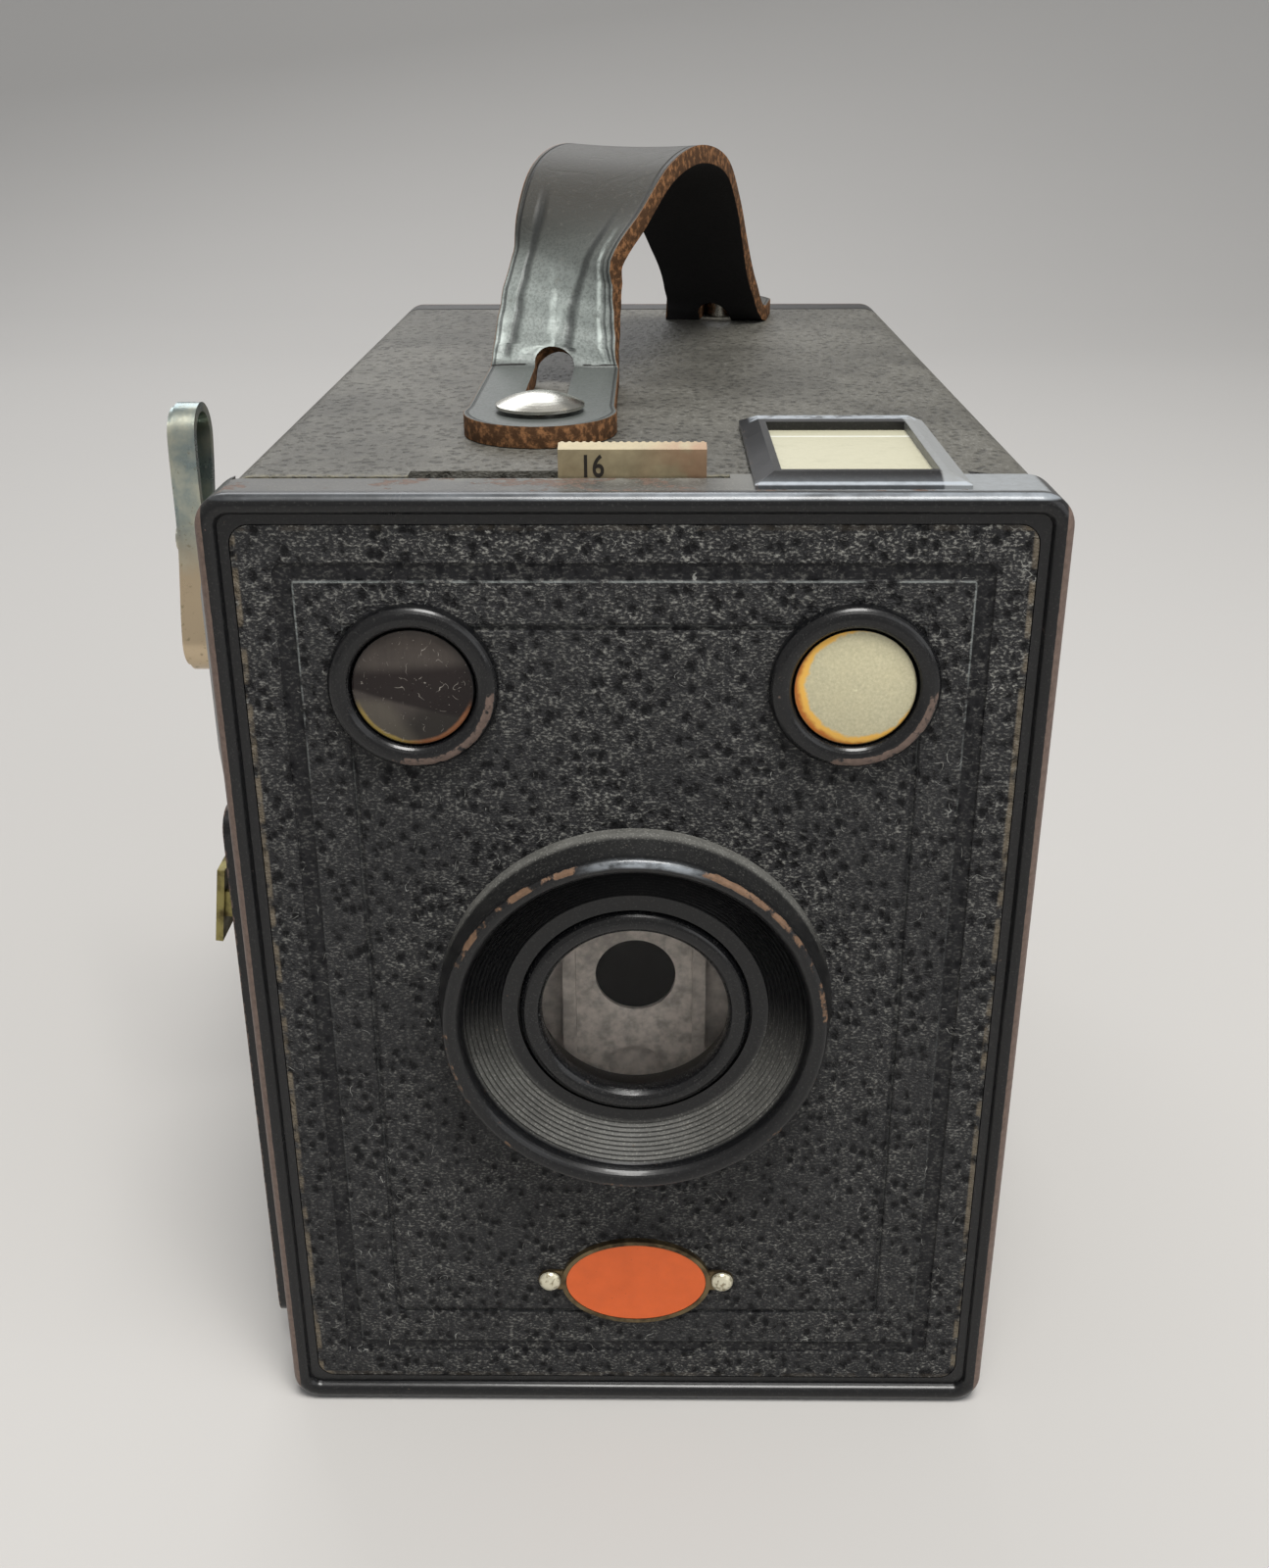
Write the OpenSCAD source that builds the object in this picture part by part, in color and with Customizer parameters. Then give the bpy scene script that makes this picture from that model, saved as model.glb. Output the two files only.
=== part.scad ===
// Box camera for 6 x 9 cm pictures on roll film.
// X runs to the right as the lens is faced, Y runs from the lens to the back, Z runs up.
// The origin is the centre of the base. Depths are measured back from the front plate's rim.

/* [Body] */
// Width of the front cap
cap_w = 80; // [78:1:84]
// Height of the camera body
body_h = 108; // [107:1:112]
// Depth from the front rim to the back of the door
body_d = 130; // [129:1:136]
// Step from the cap's side to the covering's side
cap_step = 0.7; // [0.3:0.1:1]
// Thickness of the body's steel sheet
sheet = 0.7; // [0.5:0.1:0.8]
// Thickness of the leatherette covering
cover_t = 0.7; // [0.4:0.1:0.8]
// Radius of the long edges
edge_r = 3.2; // [2.8:0.1:4]
// Length of the cap's flange
cap_len = 8; // [7.8:0.1:8.1]

/* [Front plate] */
// Radius of the rolled rim bead
rim_r = 1; // [0.8:0.1:1.3]
// Width of the rim as far as the covering
rim_w = 2.9; // [2.8:0.1:4.2]
// Depth of the covered panel behind the rim
panel_in = 0.9; // [0.5:0.1:1]
// Thickness of the panel's covering
panel_cover_t = 0.6; // [0.4:0.1:0.8]
// Width of the embossed border band
band_w = 1.7; // [1:0.1:2.4]
// Depth of the embossed border
emboss = 0.2; // [0.1:0.05:0.3]

/* [Lens] */
// Height of the lens axis over the middle of the body
lens_rise = 0; // [-2:0.5:2]
// Outer radius of the lens ring at its base
ring_r = 20.3; // [19.5:0.1:21]
// How far the lens ring stands in front of the rim
ring_front = 4.5; // [3.5:0.1:6]
// Number of grooves turned in the ring's cone
groove_count = 9; // [5:1:12]
// Radius of the front glass
glass_r = 11.2; // [10.8:0.1:11.4]
// Thickness of the front glass
glass_t = 1.5; // [1:0.1:1.8]
// Radius of the clear opening in front of the glass
clear_r = 9.6; // [9:0.1:10]
// Radius of the meniscus lens
lens_r = 7.5; // [7:0.1:8]

/* [Finders] */
// Distance of each finder lens from the middle
finder_x = 20.9; // [20.7:0.1:21.3]
// Depth of the finder lenses below the top
finder_drop = 18.6; // [18:0.1:19]
// Outer radius of the finder rings
finder_ring_r = 8.15; // [7.8:0.1:8.4]
// Radius of the finder lenses
finder_lens_r = 6; // [5.8:0.1:6.2]
// Width of a finder window frame
window_w = 19.7; // [19:0.1:20]
// Depth of a finder window frame
window_d = 29; // [28.5:0.1:30]
// Width of a finder glass
pane_w = 15.2; // [14.5:0.1:15.6]
// Depth of a finder glass
pane_d = 21.9; // [21:0.1:22.4]

/* [Shutter] */
// Thickness of the sliding and turning shutter plates
plate_t = 0.6; // [0.4:0.1:0.7]
// Radius of the large stop
stop_large_r = 4.3; // [4:0.1:4.4]
// Radius of the small stop
stop_small_r = 3; // [2.5:0.1:3.4]
// Distance between the two stops
stop_pitch = 12; // [11.5:0.1:12.5]
// Height of the aperture tab above the top
tab_up = 3.3; // [3:0.1:4.5]
// Width of the aperture slide
slide_w = 13.9; // [13:0.1:14.2]
// Length of the release lever from its pivot to its pad
lever_len = 34.5; // [34.5:0.1:35.5]
// Half of the release lever's swing in degrees
lever_half = 7.15; // [6:0.05:7.4]
// Degrees that the shutter disc turns for one degree of the lever
disc_ratio = 6; // [5.6:0.1:6.2]

/* [Film] */
// Gap between the film carrier and the body's side walls
carrier_gap = 3.8; // [3.4:0.1:4.2]
// Radius of the spool flanges
spool_flange_r = 12.6; // [12.2:0.1:12.8]
// Radius of the spool cores
spool_core_r = 5.9; // [5.6:0.1:6.4]
// Width of the picture window
gate_w = 56; // [54:0.5:57]
// Distance from the picture window to the top and the base
gate_margin = 12; // [11.5:0.5:14]
// Radius of the guide rollers
roller_r = 2.4; // [2.1:0.1:2.5]

/* [Winding key] */
// Length of the winding key across its wings
key_len = 33; // [30:0.5:33.5]
// Width of the winding key's wings
key_w = 8.2; // [7.6:0.1:9.6]
// How far the key stands out from the middle of the camera
key_reach = 56.4; // [54.5:0.1:57.5]
// Turn of the key at rest in degrees
key_turn = 9; // [0:1:20]

/* [Strap] */
// Thickness of the carrying strap
strap_t = 2.2; // [1.8:0.1:2.4]
// Height of the strap's arch over the top
arch_h = 24; // [22:0.5:28]
// Radius of the strap studs
stud_r = 4.7; // [4.4:0.1:5]
// Width of the keyhole slots in the strap
slot_w = 4.8; // [4.8:0.1:5.2]

/* [Back] */
// Radius of the red window
red_r = 6.5; // [5.5:0.1:7.5]
// Radius of the tripod sockets' thread
tripod_r = 3.175; // [3.1:0.005:3.2]

/* [Hidden] */

// The body in section
front = -body_d / 2;
cap_half = cap_w / 2;
cover_half = cap_half - cap_step;
cover_top = body_h - 0.3;
shell_half = cover_half - cover_t;
shell_low = cover_t;
shell_top = cover_top - cover_t;
in_half = shell_half - sheet;
in_low = shell_low + sheet;
in_top = shell_top - sheet;
mid_z = body_h / 2;
shell_r = edge_r - cover_t;
in_r = shell_r - sheet;
lens_z = mid_z + lens_rise;
finder_z = body_h - finder_drop;
fit = 0.05;
gap = 0.3;

// Depths of the front section
panel_d = panel_in + panel_cover_t;
seam_d = 8.3;
slide_d = 6.8;
mech_d = 7.4;
time_d = 8.8;
lever_d = 9;
disc_d = 10.1;
board_d = 11.2;
board_t = 0.8;

// Depths of the back section
body_back = body_d - 7.2;
door_front = body_d - 6.6;
door_in = body_d - 1.4;
gate_d = body_d - 10;
hinge_d = body_d - 6.8;
hinge_z = 1.6;
hinge_r = 1.6;
hinge_pin_r = 0.8;
hinge_half = 30;
hinge_mid = 12;
floor_cut_d = body_d - 8.8;

// Release lever and shutter disc
lever_x = -10.5;
lever_z = lens_z + 3;
disc_x = 3;
disc_z = lens_z + 13;
pivot_dist = norm([disc_x - lever_x, disc_z - lever_z]);
pivot_angle = atan2(disc_z - lever_z, disc_x - lever_x);
disc_pin_at = pivot_dist / (disc_ratio + 1);
disc_hole_at = norm([disc_x, disc_z - lens_z]);
disc_hole_angle = atan2(lens_z - disc_z, -disc_x);
disc_half = lever_half * disc_ratio;
light_r = 4.6;

// Film spools
spool_d = 50;
supply_z = 18;
takeup_z = body_h - supply_z;
side_t = 0.8;
side_in = in_half - carrier_gap - side_t;
spool_play = 0.4;
spool_len = 2 * (side_in - spool_play);
side_front = 34;
gate_h = body_h - 2 * gate_margin;
spool_bore_r = 3.2;
key_shaft_r = 2.5;
blade_half = 4.3;
blade_t = 1.4;

// Strap's arch: middle x, depth, height over the top, half width; the end points only give direction.
// The depths are those of a body 130 deep, and lie in proportion on any other.
lay = body_d / 130;
strap_drawn = [
    [-10.1, 46, 0, 7.9], [-10.1, 55.2, 0, 7.8], [-9.7, 59, 4.6, 7.6], [-8.7, 62, 10.8, 7.6],
    [-6.8, 65, 17.2, 8.4], [-4.4, 71, 22.2, 9.3], [-1, 80, arch_h, 9.6], [3, 90, 22.3, 9.2],
    [6, 97.5, 17.2, 8.2], [8.4, 103, 10.6, 7.4], [10.4, 107, 4.2, 7.2], [11.6, 110.6, 0.1, 7.4],
    [12.6, 118, 0, 7.8]
];
strap_route = [for (p = strap_drawn) [p[0], p[1] * lay, p[2], p[3]]];
strap_half = 7.8;
strap_end_r = 8.1;
strap_gap = 0.1;
stud_front = [-10.1, 28 * lay];
stud_rear = [12.5, 116.5 * lay];
rear_turn = 171.5;
stud_neck_r = 2.3;
washer_r = 4;

$fn = 64;

// A slab of a flat shape drawn in X and Z, from depth d0 back by t
module slab(d0, t) {
    translate([0, front + d0 + t, 0]) rotate([90, 0, 0]) linear_extrude(height = t) children();
}

// A shape turned about an axis along Y at x, z; the profile is radius against depth
module turned(x, z, sides = 96) {
    translate([x, front, z]) rotate([-90, 0, 0]) rotate_extrude($fn = sides) children();
}

// A round bar along Y
module bar_y(x, z, d0, len, r) {
    translate([x, front + d0, z]) rotate([-90, 0, 0]) cylinder(r = r, h = len);
}

// A round bar along X from x0
module bar_x(x0, len, d, z, r) {
    translate([x0, front + d, z]) rotate([0, 90, 0]) cylinder(r = r, h = len);
}

// A box between two corners given as x, depth, z
module block(a, b) {
    translate([a[0], front + a[1], a[2]]) cube([b[0] - a[0], b[1] - a[1], b[2] - a[2]]);
}

// A rectangle with round corners between two corners in X and Z
module round_rect(x0, z0, x1, z1, r) {
    translate([x0 + r, z0]) square([x1 - x0 - 2 * r, z1 - z0]);
    translate([x0, z0 + r]) square([x1 - x0, z1 - z0 - 2 * r]);
    for (x = [x0 + r, x1 - r], z = [z0 + r, z1 - r]) translate([x, z]) circle(r = r, $fn = 48);
}

module cap_outline(inset, r) {
    round_rect(-cap_half + inset, inset, cap_half - inset, body_h - inset, r);
}

module cover_outline() {
    round_rect(-cover_half, 0, cover_half, cover_top, edge_r);
}

module shell_outline() {
    round_rect(-shell_half, shell_low, shell_half, shell_top, shell_r);
}

module inner_outline(inset = 0) {
    round_rect(-in_half + inset, in_low + inset, in_half - inset, in_top - inset, in_r);
}

// ---------------------------------------------------------------- front plate

panel_half = cap_half - rim_w;
panel_low = rim_w;
panel_top = body_h - rim_w;
hub_r = glass_r + 0.9;
finder_hub_r = finder_lens_r + 0.5;
pin_x = 9.7;
pin_r = 0.6;
badge_z = 17.5;
tab_half = slide_w / 2;
slide_x = -0.15;
slit_left = -37.7;
slit_right = 9;

// The rolled bead: a round bar bent along the cap's outline
module rim_bead() {
    long = edge_r;
    for (x = [-cap_half + rim_r, cap_half - rim_r])
        translate([x, front + rim_r, long]) cylinder(r = rim_r, h = body_h - 2 * long);
    for (z = [rim_r, body_h - rim_r]) bar_x(-cap_half + long, cap_w - 2 * long, rim_r, z, rim_r);
    for (sx = [-1, 1], sz = [-1, 1])
        translate([sx * (cap_half - long), front + rim_r, mid_z + sz * (mid_z - long)])
            rotate([90, 0, 0])
                rotate([0, 0, (sx > 0 ? (sz > 0 ? 0 : -90) : (sz > 0 ? 90 : 180))])
                    rotate_extrude(angle = 90) translate([long - rim_r, 0]) circle(r = rim_r, $fn = 32);
}

module front_holes(hub_gap, finder_gap) {
    translate([0, lens_z]) circle(r = hub_r + hub_gap, $fn = 96);
    for (x = [-finder_x, finder_x]) translate([x, finder_z]) circle(r = finder_hub_r + finder_gap);
    for (x = [-pin_x, pin_x]) translate([x, badge_z]) circle(r = pin_r + fit, $fn = 24);
}

module front_cap() color([0.06, 0.06, 0.07]) difference() {
    union() {
        rim_bead();
        slab(rim_r, cap_len - rim_r) difference() {
            cap_outline(0, edge_r);
            cap_outline(sheet, edge_r - sheet);
        }
        slab(panel_in, panel_cover_t + 0.1) difference() {
            cap_outline(rim_r, edge_r - rim_r);
            round_rect(-panel_half, panel_low, panel_half, panel_top, 2);
        }
        slab(panel_d, sheet) difference() {
            cap_outline(0.2, edge_r - 0.2);
            front_holes(0.1, 0.1);
        }
    }
    // The slit for the two tabs in the flange's rear edge
    block([slit_left, slide_d - 0.4, body_h - 2], [slit_right, cap_len + 1, body_h + 1]);
    finder_opening_top(cap_len + 1);
    finder_opening_side(cap_len + 1);
}

module front_covering() color([0.1, 0.1, 0.11]) difference() {
    slab(panel_in, panel_cover_t) difference() {
        round_rect(-panel_half + 0.1, panel_low + 0.1, panel_half - 0.1, panel_top - 0.1, 1.9);
        front_holes(0.2, 0.2);
    }
    emboss_line(band_in, band_w);
    emboss_line(line_in, line_w);
}

band_in = 6.6;
line_in = 12.6;
line_w = 0.5;
module emboss_line(inset, w) {
    slab(panel_in - 1, 1 + emboss) difference() {
        cap_outline(inset, 1);
        cap_outline(inset + w, 0.4);
    }
}

// ---------------------------------------------------------------- lens ring and glass

cone_in = 13.7;
cone_out = 17.6;
cone_front = -ring_front + 1.55;
cone_back = -0.85;
// The ring's rolled crest: where its top lies, and how far it rolls to the outside
crest_r = 18.9;
crest_roll = 0.6;
glass_front = 0.3;
glass_back = glass_front + glass_t;

// Two points for each groove, one at its floor and one at its crest
function cone_at(t) = [cone_in + (cone_out - cone_in) * t, cone_back + (cone_front - cone_back) * t];
function grooves() = [
    for (i = [groove_count - 1:-1:0], k = [1, 0.55, 0.45, 0])
        cone_at((i + k) / groove_count) + (k == 0.55 || k == 0.45 ? [0, 0.28] : [0, 0])
];

module lens_ring() color([0.07, 0.07, 0.08]) difference() {
    turned(0, lens_z, 128) polygon(concat(
        [[ring_r, panel_in], [ring_r, 0], [ring_r - 0.8, -ring_front + 1]],
        [for (a = [0:15:90]) [crest_r + crest_roll * cos(a), -ring_front + crest_roll * (1 - sin(a))]],
        [for (a = [100:10:170]) [crest_r + (crest_r - cone_out) * cos(a),
            cone_front - (ring_front + cone_front) * sin(a)]],
        grooves(),
        [[glass_r + 0.85, cone_back], [glass_r + 0.85, 0], [glass_r + 0.1, 0]],
        [[glass_r + 0.1, glass_back], [glass_r - 0.8, glass_back], [glass_r - 0.8, 3.4]],
        [[hub_r, 3.4], [hub_r + 0.9, 2.9], [hub_r + 0.9, panel_d + sheet], [hub_r, panel_d + sheet]],
        [[hub_r, panel_in]]
    ));
}

module glass_ring() color([0.04, 0.04, 0.05]) turned(0, lens_z, 128) polygon(concat(
    [[clear_r, glass_front], [glass_r, glass_front], [glass_r, 0], [clear_r + 2.3, 0]],
    [for (a = [0:12:180]) [clear_r + 1.15 + 1.15 * cos(a), -0.4 - 1.15 * sin(a)]]
));

module front_glass() color([0.6, 0.6, 0.6, 0.35])
    bar_y(0, lens_z, glass_front, glass_t, glass_r, $fn = 96);

// ---------------------------------------------------------------- finders

module finder_ring(x) color([0.05, 0.05, 0.06]) turned(x, finder_z) polygon(concat(
    [[finder_ring_r, panel_in]],
    [for (a = [0:15:180]) [finder_ring_r - 1.1 + 1.1 * cos(a), panel_in - 0.5 - 1.0 * sin(a)]],
    [[finder_lens_r - 0.25, 0.1], [finder_lens_r - 0.25, 0.3], [finder_lens_r + fit, 0.3]],
    [[finder_lens_r + fit, 3], [finder_hub_r, 3], [finder_hub_r + 0.5, 2.7]],
    [[finder_hub_r + 0.5, panel_d + sheet], [finder_hub_r, panel_d + sheet], [finder_hub_r, panel_in]]
));

// A finder lens, flat at the back and slightly crowned in front
finder_crown = 0.5;
finder_crown_r = (pow(finder_lens_r - 0.3, 2) + pow(finder_crown, 2)) / (2 * finder_crown);
function crown(n) = [
    for (i = [0:n]) let (r = (finder_lens_r - 0.3) * i / n)
        [r, 0.3 - finder_crown + finder_crown_r - sqrt(pow(finder_crown_r, 2) - r * r)]
];
module finder_lens(x) color([0.4, 0.38, 0.36, 0.5]) turned(x, finder_z) polygon(concat(
    crown(8), [[finder_lens_r, 0.3], [finder_lens_r, 2.4], [0, 2.4]]
));

// A finder is drawn with its lens axis at the origin and its window towards +Z.
// The top finder stands so, and the side finder is turned to face -X.
window_z_top = body_h - finder_z;
window_z_side = cap_half - finder_x;
wall_top = in_top - finder_z;
wall_side = in_half - finder_x;
box_half = window_w / 2 - 0.15;
box_low = -10.4;
box_t = 0.5;
slope_d = 6;
window_front = 2;
window_back = window_front + window_d;
box_front = window_front + 1;
slope_run = window_back - slope_d;
pane_front = window_front + 2.6;
mirror_t = 1.2;

module at_top_finder() {
    translate([finder_x, front, finder_z]) children();
}
module at_side_finder() {
    translate([-finder_x, front, finder_z]) rotate([0, -90, 0]) children();
}

module extrude_across(half) {
    translate([-half, 0, 0]) rotate([90, 0, 90]) linear_extrude(height = 2 * half) children();
}
module finder_housing(reach) {
    difference() {
        intersection() {
            extrude_across(box_half)
                polygon([[box_front, box_low], [slope_d, box_low], [window_back, box_low + slope_run],
                    [window_back, 3 * reach], [box_front, 3 * reach]]);
            translate([-20, 0, -20]) cube([40, 40, 20 + reach]);
        }
        extrude_across(box_half - box_t)
            polygon([[box_front + box_t, box_low + box_t], [slope_d - 0.2, box_low + box_t],
                [window_back - box_t, box_low + slope_run + 0.2], [window_back - box_t, 3 * reach + 1],
                [box_front + box_t, 3 * reach + 1]]);
        translate([0, 2, 0]) rotate([-90, 0, 0]) cylinder(r = finder_lens_r - 0.4, h = 2);
    }
}
module finder_mirror() {
    // The mirror lies on the slope, just inside the housing
    translate([0, slope_d - 0.2, box_low + box_t]) rotate([45, 0, 0])
        translate([-box_half + box_t + 0.2, 1, 0.02])
            cube([2 * (box_half - box_t - 0.2), slope_run * sqrt(2) - 3.4, mirror_t]);
}

module finder_housing_top() color([0.3, 0.3, 0.31]) at_top_finder() finder_housing(wall_top);
module finder_housing_side() color([0.3, 0.3, 0.31]) at_side_finder() finder_housing(wall_side);
module finder_mirror_top() color([0.75, 0.78, 0.8]) at_top_finder() finder_mirror();
module finder_mirror_side() color([0.75, 0.78, 0.8]) at_side_finder() finder_mirror();

// The window frame is a low bevelled frame with a skirt down to the shell's inner face
frame_h = 1.2;
frame_edge = 0.35;
skirt_x = box_half - 1.4;
skirt_front = pane_front - 0.9;
skirt_back = pane_front + pane_d + 0.9;
module window_bevel() {
    intersection() {
        translate([0, window_front, 0]) rotate([90, 0, 180]) linear_extrude(height = window_d)
            polygon([[-window_w / 2, 0], [window_w / 2, 0], [window_w / 2, frame_edge],
                [pane_w / 2 + 0.4, frame_h], [-pane_w / 2 - 0.4, frame_h], [-window_w / 2, frame_edge]]);
        extrude_across(window_w)
            polygon([[window_front, 0], [window_back, 0], [window_back, frame_edge],
                [pane_front + pane_d + 3, frame_h], [pane_front - 0.4, frame_h], [window_front, frame_edge]]);
    }
}
module finder_frame(zo, reach) {
    difference() {
        union() {
            translate([0, 0, zo]) window_bevel();
            translate([-skirt_x, skirt_front, reach])
                cube([2 * skirt_x, skirt_back - skirt_front, zo - reach + 0.1]);
        }
        translate([-pane_w / 2 + 0.3, pane_front + 0.3, reach - 1])
            cube([pane_w - 0.6, pane_d - 0.6, 10]);
        translate([-pane_w / 2 - fit, pane_front - fit, reach - 1])
            cube([pane_w + 2 * fit, pane_d + 2 * fit, zo - reach + 1.3]);
    }
}
module finder_window(zo) {
    translate([-pane_w / 2, pane_front, zo - 0.9]) cube([pane_w, pane_d, 1.2]);
}
module finder_frame_top() color([0.05, 0.05, 0.06]) at_top_finder() finder_frame(window_z_top, wall_top);
module finder_frame_side() color([0.05, 0.05, 0.06]) at_side_finder() finder_frame(window_z_side, wall_side);
module finder_window_top() color([0.85, 0.84, 0.75, 0.8]) at_top_finder() finder_window(window_z_top);
module finder_window_side() color([0.85, 0.84, 0.75, 0.8]) at_side_finder() finder_window(window_z_side);

// The hole that a frame's skirt passes through, cut in cap, covering and shell
module skirt_hole(back) {
    translate([-skirt_x - 0.1, skirt_front - 0.1, 0])
        cube([2 * skirt_x + 0.2, min(back, skirt_back + 0.1) - skirt_front + 0.1, 30]);
}
module finder_opening_top(back) {
    at_top_finder() skirt_hole(back);
}
module finder_opening_side(back) {
    at_side_finder() skirt_hole(back);
}

// ---------------------------------------------------------------- badge

badge_a = 7.9;
badge_b = 5.3;
function oval(a, b) = [for (i = [0:7.5:352.5]) [a * cos(i), b * sin(i)]];
module badge_shape(grow) {
    translate([0, badge_z]) polygon(oval(badge_a + grow, badge_b + grow));
}
module badge_plate() color([0.35, 0.3, 0.2]) difference() {
    slab(panel_in - 0.7, 0.7) union() {
        badge_shape(0.5);
        translate([-pin_x, badge_z - 1.3]) square([2 * pin_x, 2.6]);
        for (x = [-pin_x, pin_x]) translate([x, badge_z]) circle(r = 1.3);
    }
    slab(panel_in - 1, 0.6) badge_shape(0);
    slab(panel_in - 1, 0.7) difference() {
        translate([-12, badge_z - 3]) square([24, 6]);
        badge_shape(0.5);
    }
    for (x = [-pin_x, pin_x]) bar_y(x, badge_z, -1, 3, pin_r + fit);
}
module badge_enamel() color([0.85, 0.28, 0.08])
    slab(panel_in - 0.65, 0.25) translate([0, badge_z]) polygon(oval(badge_a - fit, badge_b - fit));
module badge_pins() color([0.8, 0.76, 0.62]) for (x = [-pin_x, pin_x])
    turned(x, badge_z, 32) polygon(concat(
        [for (a = [90:-15:0]) [1.25 * cos(a), panel_in - 0.4 - 0.75 * sin(a)]],
        [[pin_r, panel_in - 0.4], [pin_r, panel_d + sheet + 0.3], [0, panel_d + sheet + 0.3]]
    ));

// ---------------------------------------------------------------- shutter

board_hole = light_r + 0.4;
post_tail_r = 1;
pillar_x = 21;
pillar_low = lens_z - 23;
pillar_high = lens_z + 21;
mech_low = lens_z - 26;
mech_high = lens_z + 24;
mech_half = 23.6;
neck_x0 = -12;
neck_x1 = -8.4;
time_x0 = -20.6;
time_x1 = -7.6;
time_top = cover_top - 0.5;
time_low = lens_z + 16;
time_shoulder = time_top - 6.7;
time_travel = 5;
spring_x = -26;
spring_top = lens_z + 21;

module shutter_board() color([0.2, 0.2, 0.21]) difference() {
    slab(board_d, board_t) difference() {
        inner_outline();
        translate([0, lens_z]) circle(r = board_hole);
        translate([disc_x, disc_z]) circle(r = post_tail_r + fit);
        translate([spring_x, spring_top]) circle(r = 0.7 + fit);
        translate([finder_x - box_half - gap, finder_z + box_low - gap])
            square([2 * box_half + 2 * gap, 40]);
        translate([-60, finder_z - box_half - gap])
            square([60 - finder_x - box_low + gap, 2 * box_half + 2 * gap]);
    }
}

module pillar_places() {
    for (x = [-pillar_x, pillar_x], z = [pillar_low, pillar_high]) translate([x, z]) children();
}

module mechanism_plate() color([0.45, 0.45, 0.44]) difference() {
    slab(mech_d, plate_t) difference() {
        round_rect(-mech_half, mech_low, mech_half, mech_high, 3);
        translate([0, lens_z]) circle(r = light_r + 0.8);
        translate([lever_x, lever_z]) circle(r = post_tail_r + fit);
        pillar_places() circle(r = 0.9 + fit, $fn = 24);
    }
}

// Spacing pillars with their screws' heads in front of the plate
module mechanism_pillars() color([0.6, 0.58, 0.5]) pillar_places_3d() {
    bar_y(0, 0, mech_d + plate_t, board_d - mech_d - plate_t, 1.6);
    difference() {
        union() {
            bar_y(0, 0, mech_d - 0.1, plate_t + 0.2, 0.9);
            bar_y(0, 0, mech_d - 0.9, 0.9, 1.7);
        }
        block([-0.25, mech_d - 1, -2], [0.25, mech_d - 0.5, 2]);
    }
}
module pillar_places_3d() {
    for (x = [-pillar_x, pillar_x], z = [pillar_low, pillar_high]) translate([x, 0, z]) children();
}

// Two folded rails hold the aperture slide against the mechanism plate
rail_gap = 0.2;
rail_t = 0.5;
module slide_rails() color([0.5, 0.5, 0.48]) for (s = [-1, 1]) {
    x0 = slide_x + s * (tab_half + rail_gap);
    x1 = x0 + s * rail_t;
    x2 = x0 - s * 0.9;
    block([min(x0, x1), slide_d - rail_gap - rail_t, mech_low + 8], [max(x0, x1), mech_d, mech_high - 2]);
    block([min(x1, x2), slide_d - rail_gap - rail_t, mech_low + 8], [max(x1, x2), slide_d - rail_gap, mech_high - 2]);
}

guide_low = time_shoulder - 12.5;
module time_slide_guide() color([0.5, 0.5, 0.48]) difference() {
    block([neck_x0 - 0.8, time_d - 0.1, guide_low], [neck_x1 + 0.8, board_d, guide_low + 3]);
    block([neck_x0 - 0.2, 0, guide_low - 1], [neck_x1 + 0.2, time_d + plate_t + 0.1, guide_low + 4]);
}

// Stepped posts. The lever's is riveted in the mechanism plate and ends in front of the disc,
// which swings past behind it; the disc's is riveted in the board
post_head = 0.3;
module lever_pivot() color([0.7, 0.66, 0.5]) turned(lever_x, lever_z, 48) polygon([
    [0, mech_d], [post_tail_r, mech_d], [post_tail_r, mech_d + plate_t],
    [2.2, mech_d + plate_t], [2.2, lever_d - 0.05], [1.5, lever_d - 0.05],
    [1.5, lever_d + plate_t + 0.05], [2.4, lever_d + plate_t + 0.05],
    [2.4, lever_d + plate_t + 0.05 + post_head], [0, lever_d + plate_t + 0.05 + post_head]
]);
module disc_pivot() color([0.7, 0.66, 0.5]) turned(disc_x, disc_z, 48) polygon([
    [0, disc_d - 0.35], [1.5, disc_d - 0.35], [1.5, disc_d - 0.05], [1.2, disc_d - 0.05],
    [1.2, disc_d + 0.5], [2.2, disc_d + 0.5], [2.2, board_d],
    [post_tail_r, board_d], [post_tail_r, board_d + board_t], [0, board_d + board_t]
]);
module spring_post() color([0.7, 0.66, 0.5]) {
    bar_y(spring_x, spring_top, lever_d - 0.6, board_d - lever_d + 0.6, 0.9, $fn = 32);
    bar_y(spring_x, spring_top, board_d - 0.1, board_t + 0.1, 0.7, $fn = 32);
}

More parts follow.
